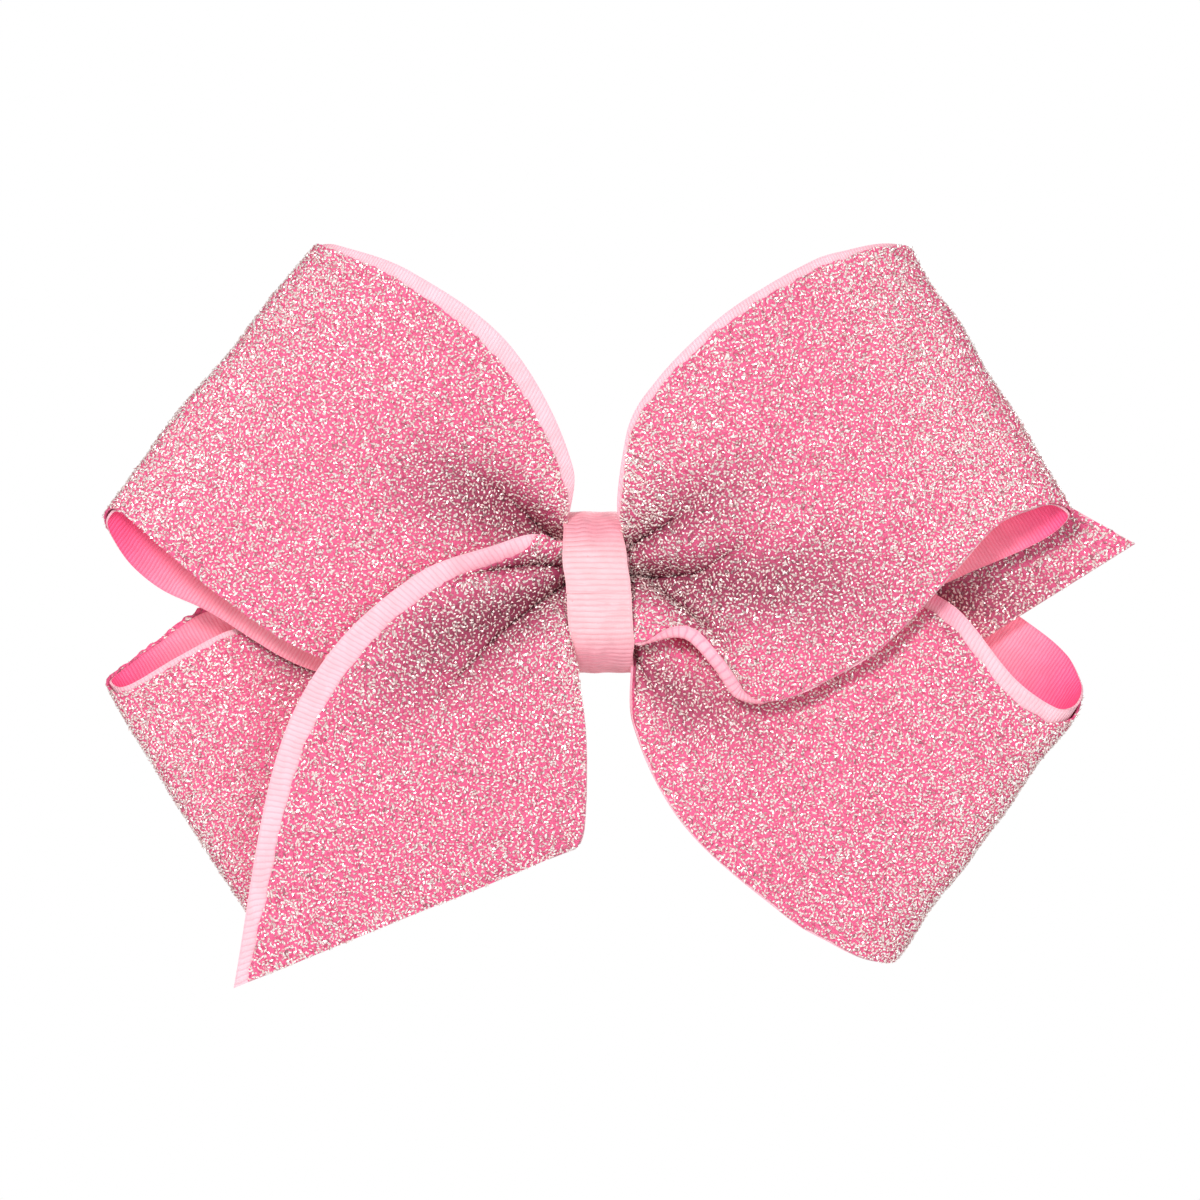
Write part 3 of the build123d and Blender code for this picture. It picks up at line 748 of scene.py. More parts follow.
def near_line(flat, line):
    """How far points lie from a line of corners, how far along it, and on which side."""
    nearest = np.full(flat.shape[:2], np.inf)
    reach = np.zeros(flat.shape[:2])
    side = np.zeros(flat.shape[:2])
    corners = np.array(line)
    legs = np.linalg.norm(np.diff(corners, axis=0), axis=1)
    gone = np.concatenate([[0.0], np.cumsum(legs)])
    for index, leg in enumerate(legs):
        way = (corners[index + 1] - corners[index]) / leg
        offset = flat - corners[index]
        travel = np.clip(offset @ way, 0, leg)
        gap = offset - travel[:, :, None] * way
        distance = np.linalg.norm(gap, axis=2)
        closer = distance < nearest
        nearest = np.where(closer, distance, nearest)
        reach = np.where(closer, (gone[index] + travel) / gone[-1], reach)
        side = np.where(closer, way[0] * gap[:, :, 1] - way[1] * gap[:, :, 0], side)
    return nearest, reach, side


# %% The ribbon as a surface
TINY = 1e-9
LEAST_RADIUS = 1e-4                     # of the roll, where there is none
NUDGE = 0.05                            # the step from which a direction is measured


def unit(vectors):
    """Vectors of length 1."""
    return vectors / np.linalg.norm(vectors, axis=1)[:, None]


def swell(share):
    """0 at both ends of a stretch and 1 in its middle."""
    return np.sin(np.clip(share, 0, 1) * math.pi)


class Ribbon:
    """One stretch of ribbon: its outer face, read at millimetres along and across it."""

    def __init__(self, name):
        rows = np.array(STRETCHES[name], float)
        rows[:, :, 1] *= -1
        self.name = name
        self.lower, self.upper = rows[:, 0], rows[:, 1]
        self.middle = (self.lower + self.upper) / 2
        steps = np.linalg.norm(np.diff(self.middle, axis=0), axis=1)
        self.marks = np.concatenate([[0.0], np.cumsum(steps)])
        self.length = self.marks[-1]
        self.facing = -1 if self.lower[1, 0] < 0 else 1
        self.is_loop = name in FOLD_ROW
        self.fold = self.marks[FOLD_ROW[name]] if self.is_loop else 2 * self.length

    def frame_at(self, along):
        """Lower edge, direction across, width between the edges, and outward normal."""
        low = smooth_curve(self.lower, self.marks, along)
        high = smooth_curve(self.upper, self.marks, along)
        width = np.linalg.norm(high - low, axis=1)
        across = (high - low) / width[:, None]
        normal = unit(np.cross(self.way_of(self.middle, along), across) * self.facing)
        return low, across, width, normal

    def way_of(self, edge, along):
        """Which way an edge or the middle runs."""
        ahead = smooth_curve(edge, self.marks, along + NUDGE)
        return ahead - smooth_curve(edge, self.marks, along - NUDGE)

    def roll(self, along):
        """How full the rolled edge is, 0 to 1."""
        if self.name != ROLLED:
            return np.zeros_like(along)
        start, full, still, end = ROLL_SPAN
        place = smooth_curve(self.lower, self.marks, along)[:, 0]
        near = along < self.fold
        return ease(place, start, full) * (1 - ease(place, still, end)) * near

    def width(self, along):
        """Cloth from selvedge to selvedge, with what the roll takes up."""
        extra = self.roll(along) * (ROLL_LENGTH - ROLL_RADIUS)
        return self.frame_at(along)[2] + extra

    def margin(self, table, along):
        """How much of an edge the knit leaves bare."""
        rows, sizes = np.array(table[self.name]).T
        return np.interp(along, np.interp(rows, np.arange(len(self.marks)), self.marks), sizes)

    def rolled_over(self, across_mm, roll):
        """Height above the lower edge and lift, where the edge is rolled forwards."""
        radius = np.maximum(ROLL_RADIUS * roll, LEAST_RADIUS)
        taken = ROLL_LENGTH * roll
        rolled = np.maximum(taken - across_mm, 0)
        turn = np.minimum(rolled / radius, math.pi)
        flap = np.maximum(rolled - math.pi * radius, 0)
        on_roll = radius - radius * np.sin(turn) + flap
        height = np.where(across_mm > taken, across_mm - taken + radius, on_roll)
        return height, radius * (1 - np.cos(turn)) + FLAP_RISE * flap, taken

    def bulge(self, place):
        """How far the middle stands out, along the stretch."""
        if not self.is_loop:
            return swell(place / self.length) ** TAIL_FULLNESS * BULGE[self.name]
        front = np.where(place < self.fold, swell(place / self.fold), 0)
        rear = np.where(place > self.fold, swell((place - self.fold) / (self.length - self.fold)), 0)
        return front * BULGE[self.name] + rear * REAR_BULGE

    def gathers(self, place, share):
        """Soft pleats that fan out from the knot where no single deep one shows."""
        rear = np.exp(-((self.length - place) / PLEAT_REACH) ** 2) if self.is_loop else 0 * place
        depth = PLEAT_DEPTH * rear
        if self.name not in VALLEYS or self.name == "lower_right_loop":
            depth = depth + PLEAT_DEPTH * np.exp(-((place / PLEAT_REACH) ** 2))
        return depth * np.cos(2 * math.pi * (PLEAT_COUNT * share + PLEAT_SHIFT))

    def face(self, along, across_mm):
        """Points of the outer face and how much painted shade each gets in a gather, 0 to 1."""
        low, across, width, normal = self.frame_at(along)
        place = along[:, None]
        roll = self.roll(along)[:, None]
        height, lift, taken = self.rolled_over(across_mm, roll)
        share = np.clip(height / width[:, None], 0, 1)
        lift = lift + self.bulge(place) * 4 * share * (1 - share)
        lift = lift + self.gathers(place, share)
        seed = sorted(STRETCHES).index(self.name)
        lift = lift + WAVE_HEIGHT * waves(place, height, WAVE_PITCH, seed) * ease(place, *WAVE_START)
        edge_way = unit(self.way_of(self.lower, along))
        inward = unit(across - edge_way * np.sum(across * edge_way, axis=1)[:, None])
        square_on = (roll * (1 - ease(across_mm - taken, 0, ROLL_SETTLES)))[:, :, None]
        way = across[:, None, :] + (inward - across)[:, None, :] * square_on
        points = low[:, None, :] + way * height[:, :, None] + normal[:, None, :] * lift[:, :, None]
        return self.pressed(points, place)

    def pressed(self, points, place):
        """The front layer with its valleys pressed in, and how much painted shade each point gets."""
        ends, starts = FRONT_ENDS
        front = 1 - ease(place, self.fold - ends, self.fold - starts)
        sunk = np.zeros(points.shape[:2])
        flat = points[:, :, [0, 2]]
        for line, depth, (left_width, right_width) in VALLEYS.get(self.name, []):
            nearest, reach, side = near_line(flat, line)
            facing_left = ease(side / np.maximum(nearest, TINY), -0.6, 0.6)
            wide = (right_width + (left_width - right_width) * facing_left) * (1 + FANNING * reach)
            fade = (1 - ease(reach, 0.15, 1.0)) * front
            crisp = (1 - ease(reach, 0.35, 0.95)) * front * np.exp(-((nearest / CREASE_WIDTH) ** 2))
            profile = np.exp(-((nearest / wide) ** VALLEY_SHARPNESS))
            points[:, :, 1] += depth * fade * profile + CREASE_DEPTH * crisp
            # Painted shade along the valley, darkest on its crease.
            shade = np.exp(-((nearest / (SHADE_SPREAD * wide)) ** SHADE_SHARPNESS))
            sunk = np.maximum(sunk, np.maximum(0.9 * fade * shade, crisp))
        for line, depth, half_width, shade in TROUGHS.get(self.name, []):
            nearest, reach, _ = near_line(flat, line)
            cone = half_width * (0.45 + 0.75 * reach)
            fade = (1 - ease(reach, 0.25, 1.0)) * front * np.exp(-((nearest / cone) ** 2))
            points[:, :, 1] += depth * fade
            # Painted shade in the trough.
            sunk = np.maximum(sunk, shade * fade)
        return points, sunk


ribbons = {name: Ribbon(name) for name in STRETCHES}
print("ribbon lengths, mm:", {name: round(float(r.length), 1) for name, r in ribbons.items()})

# %% [markdown]
# A grid of such points makes the sheet's face. Solidify then gives it its thickness, as it
# would for any sheet modelled by hand. The map in millimetres goes on first, so that both
# faces and the cut edges carry it.

# %% Grids into sheets
ALONG_STEP = 0.62
ACROSS_STEPS = 76


def grid_sheet(name, points, u, v, thickness, material, grow_outwards=False, inside=None, **facts):
    """A closed thin sheet from a grid of its face's points, in millimetres.

    Facts are numbers that its material reads, such as edge, the distance to a selvedge.
    """
    rows, columns = points.shape[:2]
    number = np.arange(rows * columns).reshape(rows, columns)
    corners = (number[:-1, :-1], number[1:, :-1], number[1:, 1:], number[:-1, 1:])
    quads = np.stack(corners, axis=-1).reshape(-1, 4)
    mesh = bpy.data.meshes.new(name)
    mesh.from_pydata((points.reshape(-1, 3) * MM).tolist(), [], quads.tolist())
    sheet_map = mesh.uv_layers.new(name="ribbon")
    corner_points = np.empty(len(mesh.loops), int)
    mesh.loops.foreach_get("vertex_index", corner_points)
    flat_map = np.stack([np.broadcast_to(part, (rows, columns)) for part in (u, v)], axis=-1)
    sheet_map.data.foreach_set("uv", flat_map.reshape(-1, 2)[corner_points].ravel())
    for fact_name, values in facts.items():
        layer = mesh.attributes.new(fact_name, "FLOAT", "POINT")
        layer.data.foreach_set("value", np.broadcast_to(values, (rows, columns)).ravel().astype(np.float32))
    mesh.materials.append(material)
    if inside is not None:
        mesh.materials.append(inside)
    sheet = bpy.data.objects.new(name, mesh)
    bpy.context.scene.collection.objects.link(sheet)
    bpy.context.view_layer.objects.active = sheet
    thicken = sheet.modifiers.new("thickness", "SOLIDIFY")
    thicken.thickness = thickness * MM
    thicken.offset = 1.0 if grow_outwards else -1.0
    thicken.use_even_offset = False
    thicken.material_offset = 0 if inside is None else 1
    bpy.ops.object.modifier_apply(modifier="thickness")
    sheet.select_set(True)
    bpy.ops.object.shade_smooth_by_angle(angle=math.radians(62))
    sheet.select_set(False)
    return sheet


def outward(grid, facing):
    """Unit normals of a grid, away from the ribbon's inner face."""
    along, across = np.gradient(grid, axis=0), np.gradient(grid, axis=1)
    normals = np.cross(along, across) * facing
    return normals / np.maximum(np.linalg.norm(normals, axis=2), TINY)[:, :, None]


def across_shares(ribbon):
    """Where the grid's columns lie, 0 to 1; the rolled edge has them closer together."""
    if ribbon.name != ROLLED:
        return np.linspace(0, 1, ACROSS_STEPS)
    return np.concatenate([np.linspace(0, 0.16, 36, endpoint=False), np.linspace(0.16, 1, 66)])


# %% Grosgrain bases
def facing_order(ribbon, *grids):
    """Turns the grid's columns round where its faces would look inwards."""
    return grids if ribbon.facing > 0 else tuple(grid[:, ::-1] for grid in grids)


FOLD_SHADE = 17.0                        # painted shade deepens the inner face's colour this near its fold
bases = {}
for name, ribbon in ribbons.items():
    along = np.linspace(0, ribbon.length, int(ribbon.length / ALONG_STEP))
    wide = ribbon.width(along)[:, None]
    across = across_shares(ribbon)[None, :] * wide
    points, sunk = ribbon.face(along, across)
    edge = np.minimum(across, wide - across)
    u = np.broadcast_to(along[:, None], across.shape)
    near_fold = np.exp(-(((u - ribbon.fold) / FOLD_SHADE) ** 2))
    points, u, across, edge, sunk, near_fold = facing_order(
        ribbon, points, u, across, edge, sunk, near_fold,
    )
    base = grid_sheet(
        f"{name}_grosgrain", points, u, across, BASE_THICKNESS, grosgrain, inside=inner_grosgrain,
        edge=edge, sunk=sunk, near_fold=near_fold,
    )
    bases[name] = base
    print(base.name, len(base.data.polygons), "faces")

# %% Tinsel knit and its loose grains
KNIT_GAP = 0.03
KNIT_END_GAP = 0.15                      # it stops this far short of the end in the knot
LONG_RAG, LONG_RAG_PITCH = 0.22, 3.1     # its selvedge is uneven: height and pitch
SHORT_RAG, SHORT_RAG_PITCH = 0.12, 1.1
KNIT_OVERHANG = 0.3                      # the ragged lower edge may pass the selvedge by this much
FOLD_GAP = 0.35                          # the knit stands this much further off where it bends round
FOLD_GAP_REACH = 8.0
GRAIN_SPACING = 0.64
FOLD_CROWDING = 0.22                     # grains lie this share closer at a fold
CROWDING_REACH = 11.0
JITTER = 0.42                            # a grain strays this share of the spacing, either way
BARE_CREASE = 0.86                       # no grains where the painted gather shade is deeper than this
GRAIN_HALF_LENGTH = (0.20, 0.46)
GRAIN_HALF_WIDTH = (0.15, 0.24)
GRAIN_HALF_HEIGHT = 0.11


def knit_grid(ribbon):
    """The knit's lower face, a little off the base, further off round a fold."""
    along = np.linspace(0, ribbon.length - KNIT_END_GAP, int(ribbon.length / ALONG_STEP))
    wide = ribbon.width(along)
    seed = 40 + sorted(STRETCHES).index(ribbon.name)
    ragged = LONG_RAG * waves(along, 0, LONG_RAG_PITCH, seed)
    ragged = ragged + SHORT_RAG * waves(along, 5, SHORT_RAG_PITCH, seed + 20)
    top = ribbon.margin(UPPER_MARGINS, along) + ragged
    low = ribbon.margin(LOWER_MARGINS, along) + ragged[::-1] * 0.6
    low = low + ribbon.roll(along) * (ROLL_LENGTH - 0.9 * ROLL_RADIUS)
    low = np.maximum(low, -KNIT_OVERHANG)
    shares = np.linspace(0, 1, ACROSS_STEPS)[None, :]
    across = low[:, None] + shares * (wide - top - low)[:, None]
    points, sunk = ribbon.face(along, across)
    gap = KNIT_GAP + FOLD_GAP * np.exp(-(((along - ribbon.fold) / FOLD_GAP_REACH) ** 2))
    grid = points + outward(points, ribbon.facing) * gap[:, None, None]
    return grid, np.broadcast_to(along[:, None], across.shape), across, sunk


def strewn_places(chance, grid, fold):
    """Even but random places on a grid, as fractions of rows and columns."""
    rows, columns = grid.shape[:2]
    middle = columns // 2
    gone = np.cumsum(np.linalg.norm(np.diff(grid[:, middle], axis=0), axis=1))
    wide = np.linalg.norm(np.diff(grid, axis=1), axis=2).sum(axis=1)
    steps = np.linalg.norm(np.diff(grid, axis=0), axis=2)
    places = []
    mark = GRAIN_SPACING / 2
    while mark < gone[-1]:
        crowding = FOLD_CROWDING * math.exp(-((mark - fold) / CROWDING_REACH) ** 2)
        spacing = GRAIN_SPACING * (1 - crowding)
        index = np.searchsorted(gone, mark)
        fanned = np.concatenate([[0.0], np.cumsum(steps[index][1:] + steps[index][:-1])])
        stretched = steps[index].mean() / steps[index, middle]
        count = int(wide[index] * stretched / spacing)
        jitter = chance.uniform(-JITTER, JITTER, (2, count))
        shares = (np.arange(count) + 0.5 + jitter[0]) / count
        marks = np.interp(mark + jitter[1] * spacing, gone, np.arange(1, rows))
        places.append(np.stack([marks, np.interp(shares * fanned[-1], fanned, np.arange(columns))]))
        mark += spacing
    return np.concatenate(places, axis=1)


def tinsel_grains(name, grid, sunk, ribbon, seed):
    """Small metal strips strewn over the knit, each a stretched octahedron."""
    chance = np.random.default_rng(seed)
    places = strewn_places(chance, grid, ribbon.fold)
    rows, columns = grid.shape[:2]
    row, column = np.minimum(places.astype(int), [[rows - 2], [columns - 2]])
    clear = sunk[row, column] < BARE_CREASE
    places, row, column = places[:, clear], row[clear], column[clear]
    count = len(row)
    f, g = (places - [row, column])[:, :, None]
    centre = (
        grid[row, column] * (1 - f) * (1 - g) + grid[row + 1, column] * f * (1 - g)
        + grid[row, column + 1] * (1 - f) * g + grid[row + 1, column + 1] * f * g
    )
    normal = outward(grid, ribbon.facing)[row, column]
    tangent = grid[row + 1, column] - grid[row, column]
    tangent = unit(tangent - normal * np.sum(tangent * normal, axis=1)[:, None])
    side = np.cross(normal, tangent)
    turn = chance.uniform(0, 2 * math.pi, (count, 1))
    lean = chance.normal(0, 0.30, (count, 1))
    way = tangent * np.cos(turn) + side * np.sin(turn) + normal * lean
    width_way = np.cross(normal, way) + normal * chance.normal(0, 0.35, (count, 1))
    height_way = np.cross(way, width_way)
    half_length = chance.uniform(*GRAIN_HALF_LENGTH, (count, 1))
    half_width = chance.uniform(*GRAIN_HALF_WIDTH, (count, 1))
    centre = centre + normal * (KNIT_THICKNESS + chance.uniform(0.0, 0.24, (count, 1)))
    six = np.stack([
        centre + way * half_length, centre - way * half_length,
        centre + width_way * half_width, centre - width_way * half_width,
        centre + height_way * GRAIN_HALF_HEIGHT, centre - height_way * GRAIN_HALF_HEIGHT,
    ], axis=1)
    ring = ((0, 2), (2, 1), (1, 3), (3, 0))
    sides = np.array([(a, b, 4) for a, b in ring] + [(b, a, 5) for a, b in ring])
    faces = (np.arange(count)[:, None, None] * 6 + sides).reshape(-1, 3)
    mesh = bpy.data.meshes.new(name)
    mesh.from_pydata((six.reshape(-1, 3) * MM).tolist(), [], faces.tolist())
    tone = mesh.attributes.new("tone", "FLOAT", "POINT")
    # Painted glints by random brightness, dimmed by painted shade in the gathers.
    shine = chance.beta(1.8, 0.9, count) * (1 - 0.55 * sunk[row, column])
    tone.data.foreach_set("value", np.repeat(shine, 6).astype(np.float32))
    mesh.materials.append(tinsel_grain)
    grains = bpy.data.objects.new(name, mesh)
    bpy.context.scene.collection.objects.link(grains)
    return grains


knits, grains = {}, {}
for order, (name, ribbon) in enumerate(ribbons.items()):
    grid, u, across, sunk = knit_grid(ribbon)
    grains[name] = tinsel_grains(f"{name}_tinsel", grid, sunk, ribbon, 300 + order)
    points, u, across, sunk = facing_order(ribbon, grid, u, across, sunk)
    knit = grid_sheet(
        f"{name}_knit", points, u, across, KNIT_THICKNESS, tinsel_knit, grow_outwards=True, sunk=sunk,
    )
    knits[name] = knit
    print(name, len(knit.data.polygons), "knit faces,", len(grains[name].data.polygons), "grain faces")

# %% Bodies of the ribbon
for name, ribbon in ribbons.items():
    for piece, slot_name, node in (
        (bases[name], "grosgrain", f"{name}_base"), (knits[name], "glitter", f"{name}_glitter"),
    ):
        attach(piece, BOW)
        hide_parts(node)
    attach(grains[name], BOW)
print("ribbon pieces:", len(bases) + len(knits) + len(grains))

# %% [markdown]
# ## The wrap
# A narrow grosgrain ribbon goes over the knot and round behind the clip's upper arm. Its
# ribs are coarse enough to model: the outline it follows is a smooth closed curve, and
# along it the surface rises and falls once for each rib. It leans a little to the left at
# the top, is crowned across its width, and is dented where it dives between the loops.

# %% Outline the wrap follows, as (depth, z)
WRAP_OUTLINE = [
    (21.75, 0.0), (21.5, 3.2), (20.9, 6.3), (19.4, 9.2), (16.8, 11.8), (13.2, 13.3), (9.6, 13.2),
    (6.2, 10.6), (3.9, 6.6), (2.75, 4.4), (2.65, 0.0), (2.75, -4.4), (3.9, -6.6), (6.2, -10.4),
    (9.6, -13.0), (13.2, -13.1), (16.8, -11.9), (19.4, -9.7), (20.9, -6.8), (21.5, -3.6),
]
WRAP_HALF_WIDTH = 5.35
WRAP_LEAN = 0.092
WRAP_RIB_HEIGHT = 0.10
WRAP_CROWN = 0.55
WRAP_SINK = 0.35                         # its selvedges lie this far inside the outline
WRAP_THICKNESS = 0.4
WRAP_ROWS, WRAP_COLUMNS = 760, 36


def closed_curve(outline, count):
    """Points evenly spaced on a smooth closed curve, and its length."""
    ring = np.array([outline[-2], outline[-1], *outline, outline[0], outline[1]], float)
    marks = np.concatenate([[0.0], np.cumsum(np.linalg.norm(np.diff(ring, axis=0), axis=1))])
    fine = np.linspace(marks[2], marks[-2], 4000, endpoint=False)
    path = smooth_curve(ring, marks, fine)
    steps = np.linalg.norm(np.diff(np.vstack([path, path[:1]]), axis=0), axis=1)
    gone = np.concatenate([[0.0], np.cumsum(steps)])
    even = np.linspace(0, gone[-1], count, endpoint=False)
    index = np.searchsorted(gone, even, side="right") - 1
    return path[index % len(path)], float(gone[-1])


def wrap_relief(u, across, length, front, slope):
    """Ribs, crown and selvedges, and dents where the wrap dives between the loops."""
    pitch = length / round(length / WRAP_RIB_PITCH)
    bend = 0.16 * np.sin(across * 2.1 + u * 0.35) + 0.10 * waves(u, across * 6, 9, 77)
    rib = np.abs(np.cos(math.pi * (u + bend) / pitch)) ** 0.7
    ribs = WRAP_RIB_HEIGHT * (rib - 0.5) * (1 - ease(np.abs(across), 0.9, 0.97))
    crown = WRAP_CROWN * (1 - across ** 2) * front
    dent = 0.75 * slope * np.exp(-(((across - 0.15) / 0.38) ** 2))
    dent = dent + 0.35 * slope * np.exp(-(((across + 0.55) / 0.2) ** 2))
    selvedge = 0.10 * ease(np.abs(across), 0.86, 0.95)
    return ribs + crown - dent - WRAP_SINK + selvedge


def make_wrap():
    """The wrap as one closed band, and its length round the knot."""
    path, length = closed_curve(WRAP_OUTLINE, WRAP_ROWS)
    ahead = np.roll(path, -4, axis=0) - np.roll(path, 4, axis=0)
    normal = unit(np.stack([ahead[:, 1], -ahead[:, 0]], axis=1))
    gone = np.arange(WRAP_ROWS) / WRAP_ROWS * length
    across = np.linspace(-1, 1, WRAP_COLUMNS)[None, :]
    depth, z = path[:, :1], path[:, 1:]
    front = ease(depth, 8.0, 15.0)
    slope = np.exp(-(((np.abs(z) - 11.0) / 3.0) ** 2)) * front
    half = WRAP_HALF_WIDTH * (1 - 0.10 * slope)
    lean = -WRAP_LEAN * np.clip(z, -12, 12) * front
    u = np.broadcast_to(gone[:, None], (WRAP_ROWS, WRAP_COLUMNS))
    lift = wrap_relief(u, across, length, front, slope)
    place = path[:, None, :] + normal[:, None, :] * lift[:, :, None]
    x = lean + half * across + 0.12 * waves(u, 0, 7, 31)
    points = np.stack([x, -place[:, :, 0], place[:, :, 1]], axis=-1)
    points = np.concatenate([points, points[:1]], axis=0)
    gone = np.concatenate([gone, [length]])[:, None]
    v = (across + 1) * WRAP_HALF_WIDTH
    edge = np.minimum(v, 2 * WRAP_HALF_WIDTH - v)
    # Painted shade where the wrap dives between the loops.
    sunk = 0.5 * np.concatenate([slope, slope[:1]], axis=0)
    band = grid_sheet("wrap", points, gone, v, WRAP_THICKNESS, wrap_grosgrain, edge=edge, sunk=sunk)
    return band, length


wrap, wrap_length = make_wrap()
bpy.context.view_layer.objects.active = wrap
bpy.ops.object.mode_set(mode="EDIT")
bpy.ops.mesh.select_all(action="SELECT")
bpy.ops.mesh.remove_doubles(threshold=0.00001)
bpy.ops.object.mode_set(mode="OBJECT")
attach(wrap, BOW)
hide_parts("centre_wrap")
print("wrap:", round(wrap_length, 1), "mm round,", len(wrap.data.polygons), "faces")

# %% [markdown]
# ## Inside the knot
# Between the left-hand and the right-hand loops the ribbon is folded to and fro like a fan,
# five passes deep, and tied with thread. Little of it shows, but it is there: each pass is
# a zigzag sheet from one side of the wrap to the other.

# %% Pleated passes
PASSES = {
    "front_tail_to_upper_right": (FIRST, 6.0), "upper_left_to_lower_right": (SECOND, 8.4),
    "upper_left_to_upper_right": (THIRD, 11.2), "lower_left_to_rear_tail": (FOURTH, 11.0),
    "lower_left_to_lower_right": (FIFTH, 8.0),
}
PASS_LENGTH = 10.4
PASS_WAVES = 10
PASS_SWING = 1.05
PASS_PINCH = 0.08                        # the pass is this share narrower in its middle
for name, (depth, half_height) in PASSES.items():
    share = np.linspace(0, 1, 12 * PASS_WAVES + 1)
    swing = PASS_SWING * np.sin(2 * math.pi * PASS_WAVES * share)
    x = np.linspace(-PASS_LENGTH / 2, PASS_LENGTH / 2, 8)
    pinch = 1 - PASS_PINCH * np.cos(x / PASS_LENGTH * math.pi)
    z = (2 * share[None, :] - 1) * half_height * pinch[:, None]
    points = np.stack(np.broadcast_arrays(x[:, None], -depth + swing[None, :], z), axis=-1)
    u = x[:, None] + 6
    v = RIBBON_WIDTH * share[None, :]
    edge = np.minimum(v, RIBBON_WIDTH - v)
    pleats = grid_sheet(f"pleats_{name}_folded", points, u, v, BASE_THICKNESS, grosgrain, edge=edge)
    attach(pleats, BOW)
    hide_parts(f"pleats_{name}")
print("passes:", len(PASSES))


# %% [markdown]
# The thread and the clip's spring are round wire bent along a line. A curve with a bevel
# gives both; it is turned into a mesh at the end.


# %% Wire along a line
def wire(name, points, radius, material, closed=False):
    """A round wire through these points, in millimetres, as a mesh."""
    curve = bpy.data.curves.new(name, "CURVE")
    curve.dimensions = "3D"
    curve.bevel_depth = radius * MM
    curve.bevel_resolution = 3
    curve.use_fill_caps = not closed
    line = curve.splines.new("POLY")
    line.points.add(len(points) - 1)
    for point, place in zip(line.points, points):
        point.co = (place[0] * MM, place[1] * MM, place[2] * MM, 1)
    line.use_cyclic_u = closed
    piece = bpy.data.objects.new(name, curve)
    bpy.context.scene.collection.objects.link(piece)
    bpy.ops.object.select_all(action="DESELECT")
    bpy.context.view_layer.objects.active = piece
    piece.select_set(True)
    bpy.ops.object.convert(target="MESH")
    bpy.ops.object.shade_smooth_by_angle(angle=math.radians(50))
    piece.data.materials.clear()
    piece.data.materials.append(material)
    piece.select_set(False)
    return piece


# %% Thread, glue and metal
def make_thread():
    """Two pinks twisted together."""
    material, tree, shader = new_material("sewing_thread")
    twist = tree.nodes.new("ShaderNodeTexWave")
    twist.inputs["Scale"].default_value = 900
    twist.inputs["Distortion"].default_value = 1.5
    tree.links.new(object_place(tree), twist.inputs["Vector"])
    colour = mix_colours(tree, twist.outputs["Fac"], (0.80, 0.28, 0.40), (0.95, 0.48, 0.58))
    dress(tree, shader, colour, 0.6, twist.outputs["Fac"], RIB_BUMP)
    return material


def make_glue():
    """Milky, glossy and a little uneven."""
    material, tree, shader = new_material("hot_glue")
    cloud = noise(tree, object_place(tree), 400).outputs[0]
    colour = mix_colours(tree, cloud, (0.86, 0.80, 0.66), (0.95, 0.92, 0.84))
    dress(tree, shader, colour, smooth_step(tree, cloud, 0.3, 0.7, 0.12, 0.3))
    return material


STEEL_BUMP = 0.00003
STEEL_BUMP_STRENGTH = 0.25
CLOUD_DARKNESS = 0.82
BRUSHED_ROUGHER = 0.16


def make_plated_steel(name, tint, roughness, brush):
    """Bright nickel plate: fine rolling marks along the strip, and a few dull clouds."""
    material, tree, shader = new_material(name)
    place = object_place(tree)
    stretch = tree.nodes.new("ShaderNodeMapping")
    stretch.inputs["Scale"].default_value = brush
    tree.links.new(place, stretch.inputs["Vector"])
    grain = noise(tree, stretch.outputs[0], 1.0, 3.0).outputs[0]
    cloud = noise(tree, place, 160).outputs[0]
    dark = tuple(CLOUD_DARKNESS * part for part in tint)
    colour = mix_colours(tree, smooth_step(tree, cloud, 0.35, 0.7), tint, dark)
    shader.inputs["Metallic"].default_value = 1.0
    rough = smooth_step(tree, grain, 0.3, 0.7, roughness, roughness + BRUSHED_ROUGHER)
    dress(tree, shader, colour, rough, grain, STEEL_BUMP, STEEL_BUMP_STRENGTH)
    return material


thread_material = make_thread()
glue_material = make_glue()
clip_steel = make_plated_steel("clip_steel", (0.78, 0.77, 0.75), 0.20, (300, 4000, 4000))
spring_steel = make_plated_steel("spring_steel", (0.62, 0.62, 0.63), 0.26, (4000, 4000, 900))
print("small finishes:", thread_material.name, glue_material.name, clip_steel.name, spring_steel.name)

# %% Gathering thread
THREAD_RADIUS = 0.2
THREAD_TURNS = 3
THREAD_SPACING = 1.4
THREAD_STEPS = 120
THREAD_UPPER_HALF = [
    (20.6, 4.4), (19.2, 7.8), (16.0, 10.8), (12.4, 12.4), (9.2, 12.2), (6.6, 9.4), (5.0, 4.6),
]
THREAD_LOWER_HALF = [(depth, -z) for depth, z in reversed(THREAD_UPPER_HALF)]
THREAD_OUTLINE = [(20.9, 0.0), *THREAD_UPPER_HALF, (4.9, 0.0), *THREAD_LOWER_HALF]
thread_path, thread_round = closed_curve(THREAD_OUTLINE, THREAD_STEPS)
thread_points = []
for index in range(THREAD_TURNS * len(thread_path)):
    depth, z = thread_path[index % len(thread_path)]
    x = (index / len(thread_path) - THREAD_TURNS / 2) * THREAD_SPACING
    thread_points.append((x, -depth, z))
thread = wire("thread", thread_points, THREAD_RADIUS, thread_material)
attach(thread, BOW)
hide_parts("gathering_thread")
print("thread round the knot, mm:", round(THREAD_TURNS * thread_round))

# %% [markdown]
# ## The clip
# The two arms, the pin and the glue keep their CAD shape and get their finish here. The
# spring is bent from wire in one piece: five close turns round the pin and a leg against
# each arm. The lining is grosgrain again, glued along the upper arm and folded over its tip.

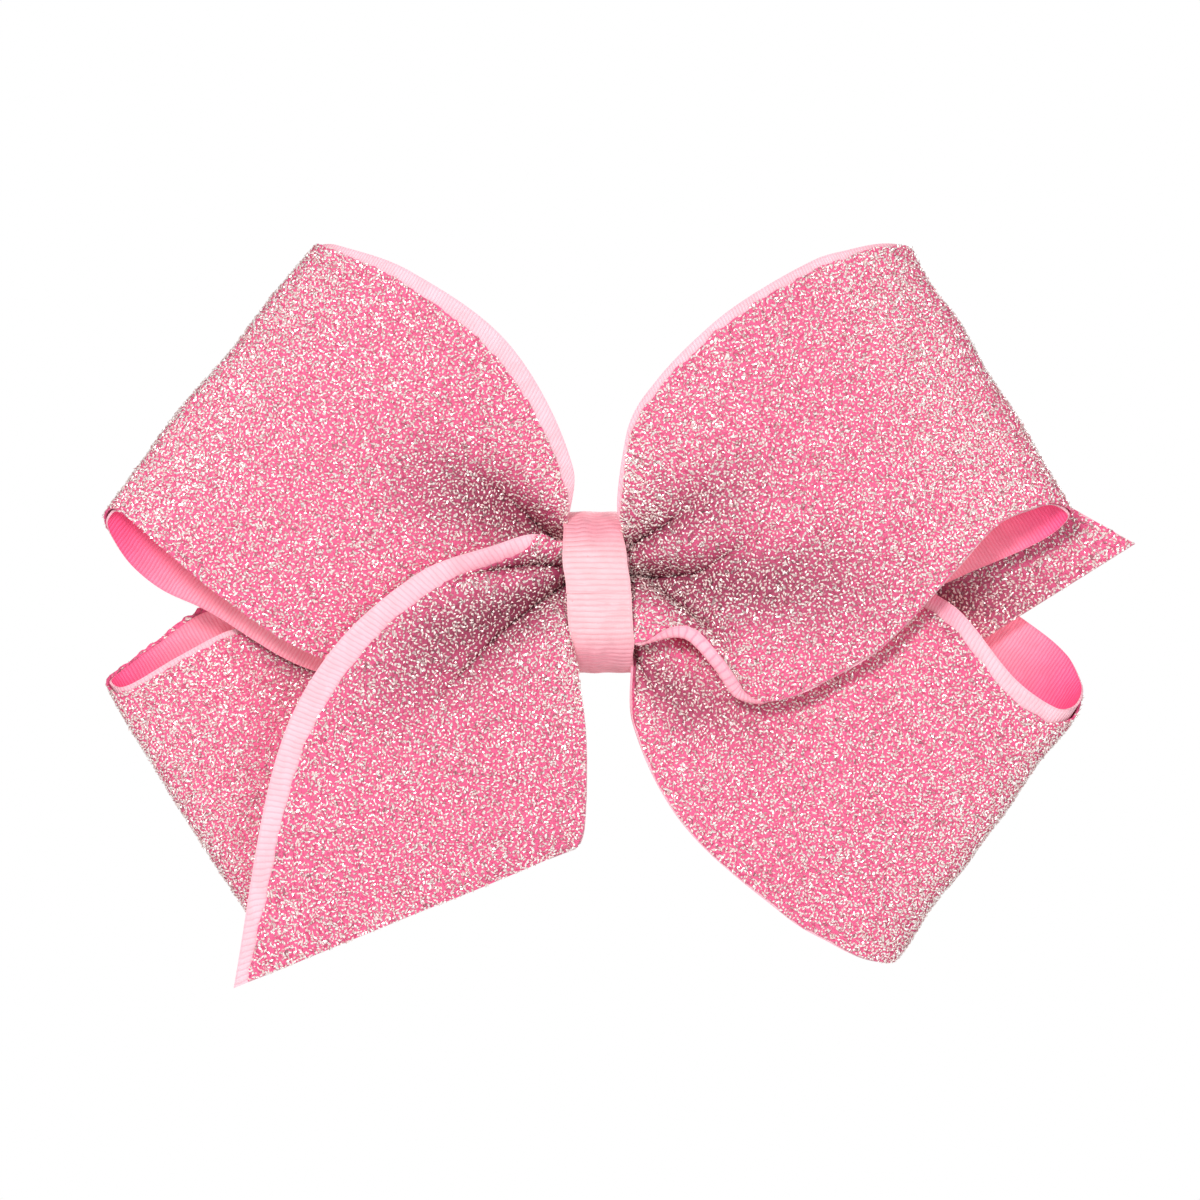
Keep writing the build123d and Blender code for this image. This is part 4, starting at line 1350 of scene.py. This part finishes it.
# %% Finishes of the carried-over nodes
CARRIED_OVER = {
    "clip_upper_arm": clip_steel, "clip_lower_arm": clip_steel, "clip_pin": clip_steel,
    "glue_pad": glue_material,
}
for node, material in CARRIED_OVER.items():
    cad_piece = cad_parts[node]
    cad_piece.data.materials.clear()
    cad_piece.data.materials.append(material)
    print(node, "takes", material.name)

# %% Spring
PIN_X = 12.0
COIL_RADIUS = 1.55
WIRE_RADIUS = 0.4
COIL_TURNS = 5
COIL_HALF = 1.64
LEG_REACH = 4.0
UPPER_LEG_DEPTH = 2.90
LOWER_LEG_DEPTH = -2.05
TURN_STEPS = 28
spring_points = [
    (PIN_X - LEG_REACH, -UPPER_LEG_DEPTH, COIL_HALF),
    (PIN_X - LEG_REACH / 2, -(UPPER_LEG_DEPTH + COIL_RADIUS) / 2, COIL_HALF),
]
coil_steps = int(COIL_TURNS * TURN_STEPS + TURN_STEPS / 2)
for step in range(coil_steps + 1):
    turn = math.pi / 2 - step / TURN_STEPS * 2 * math.pi
    z = COIL_HALF - step / coil_steps * 2 * COIL_HALF
    spring_points.append((PIN_X + COIL_RADIUS * math.cos(turn), -COIL_RADIUS * math.sin(turn), z))
spring_points.append((PIN_X - LEG_REACH / 2, -(LOWER_LEG_DEPTH - COIL_RADIUS) / 2, -COIL_HALF))
spring_points.append((PIN_X - LEG_REACH, -LOWER_LEG_DEPTH, -COIL_HALF))
spring = wire("spring", spring_points, WIRE_RADIUS, spring_steel)
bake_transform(spring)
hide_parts("clip_spring")
print("spring:", COIL_TURNS, "turns")

# %% Lining
LINING_WIDTH = 9.0
LINING_THICKNESS = 0.35
LINING_BACK_START = 7.6
LINING_TIP = -33.32
LINING_FRONT_END = 26.0
LINING_BACK = 3.0
LINING_FRONT = 4.3
LINING_TIP_SHARE = 0.82                  # its width at the tip, narrowing from the start below
NARROWING_START = -9.0
GLUE_GAP = 0.03


def lining_path():
    """Along the arm on the jaw's side, round its tip and back on the other, as (x, depth)."""
    radius = (LINING_FRONT - LINING_BACK) / 2
    turning = LINING_TIP + radius
    path = [(x, LINING_BACK) for x in np.linspace(LINING_BACK_START, turning, 60)]
    for turn in np.linspace(0, math.pi, 12)[1:-1]:
        path.append((turning - radius * math.sin(turn), LINING_BACK + radius - radius * math.cos(turn)))
    path += [(x, LINING_FRONT) for x in np.linspace(turning, LINING_FRONT_END, 80)]
    return np.array(path)


line = lining_path()
gone = np.concatenate([[0.0], np.cumsum(np.linalg.norm(np.diff(line, axis=0), axis=1))])
narrowing = np.interp(line[:, 0], [LINING_TIP, NARROWING_START], [LINING_TIP_SHARE, 1.0])
cross = np.linspace(-1, 1, 14)[None, :]
z = cross * narrowing[:, None] * LINING_WIDTH / 2
points = np.stack(np.broadcast_arrays(line[:, :1], -line[:, 1:], z), axis=-1)
v = (cross + 1) * LINING_WIDTH / 2
edge = np.minimum(v, LINING_WIDTH - v)
lining = grid_sheet(
    "lining", points, gone[:, None], v, LINING_THICKNESS - GLUE_GAP, grosgrain, edge=edge,
)
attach(lining, BOW)
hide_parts("clip_lining")
print("lining:", round(float(gone[-1])), "mm long")
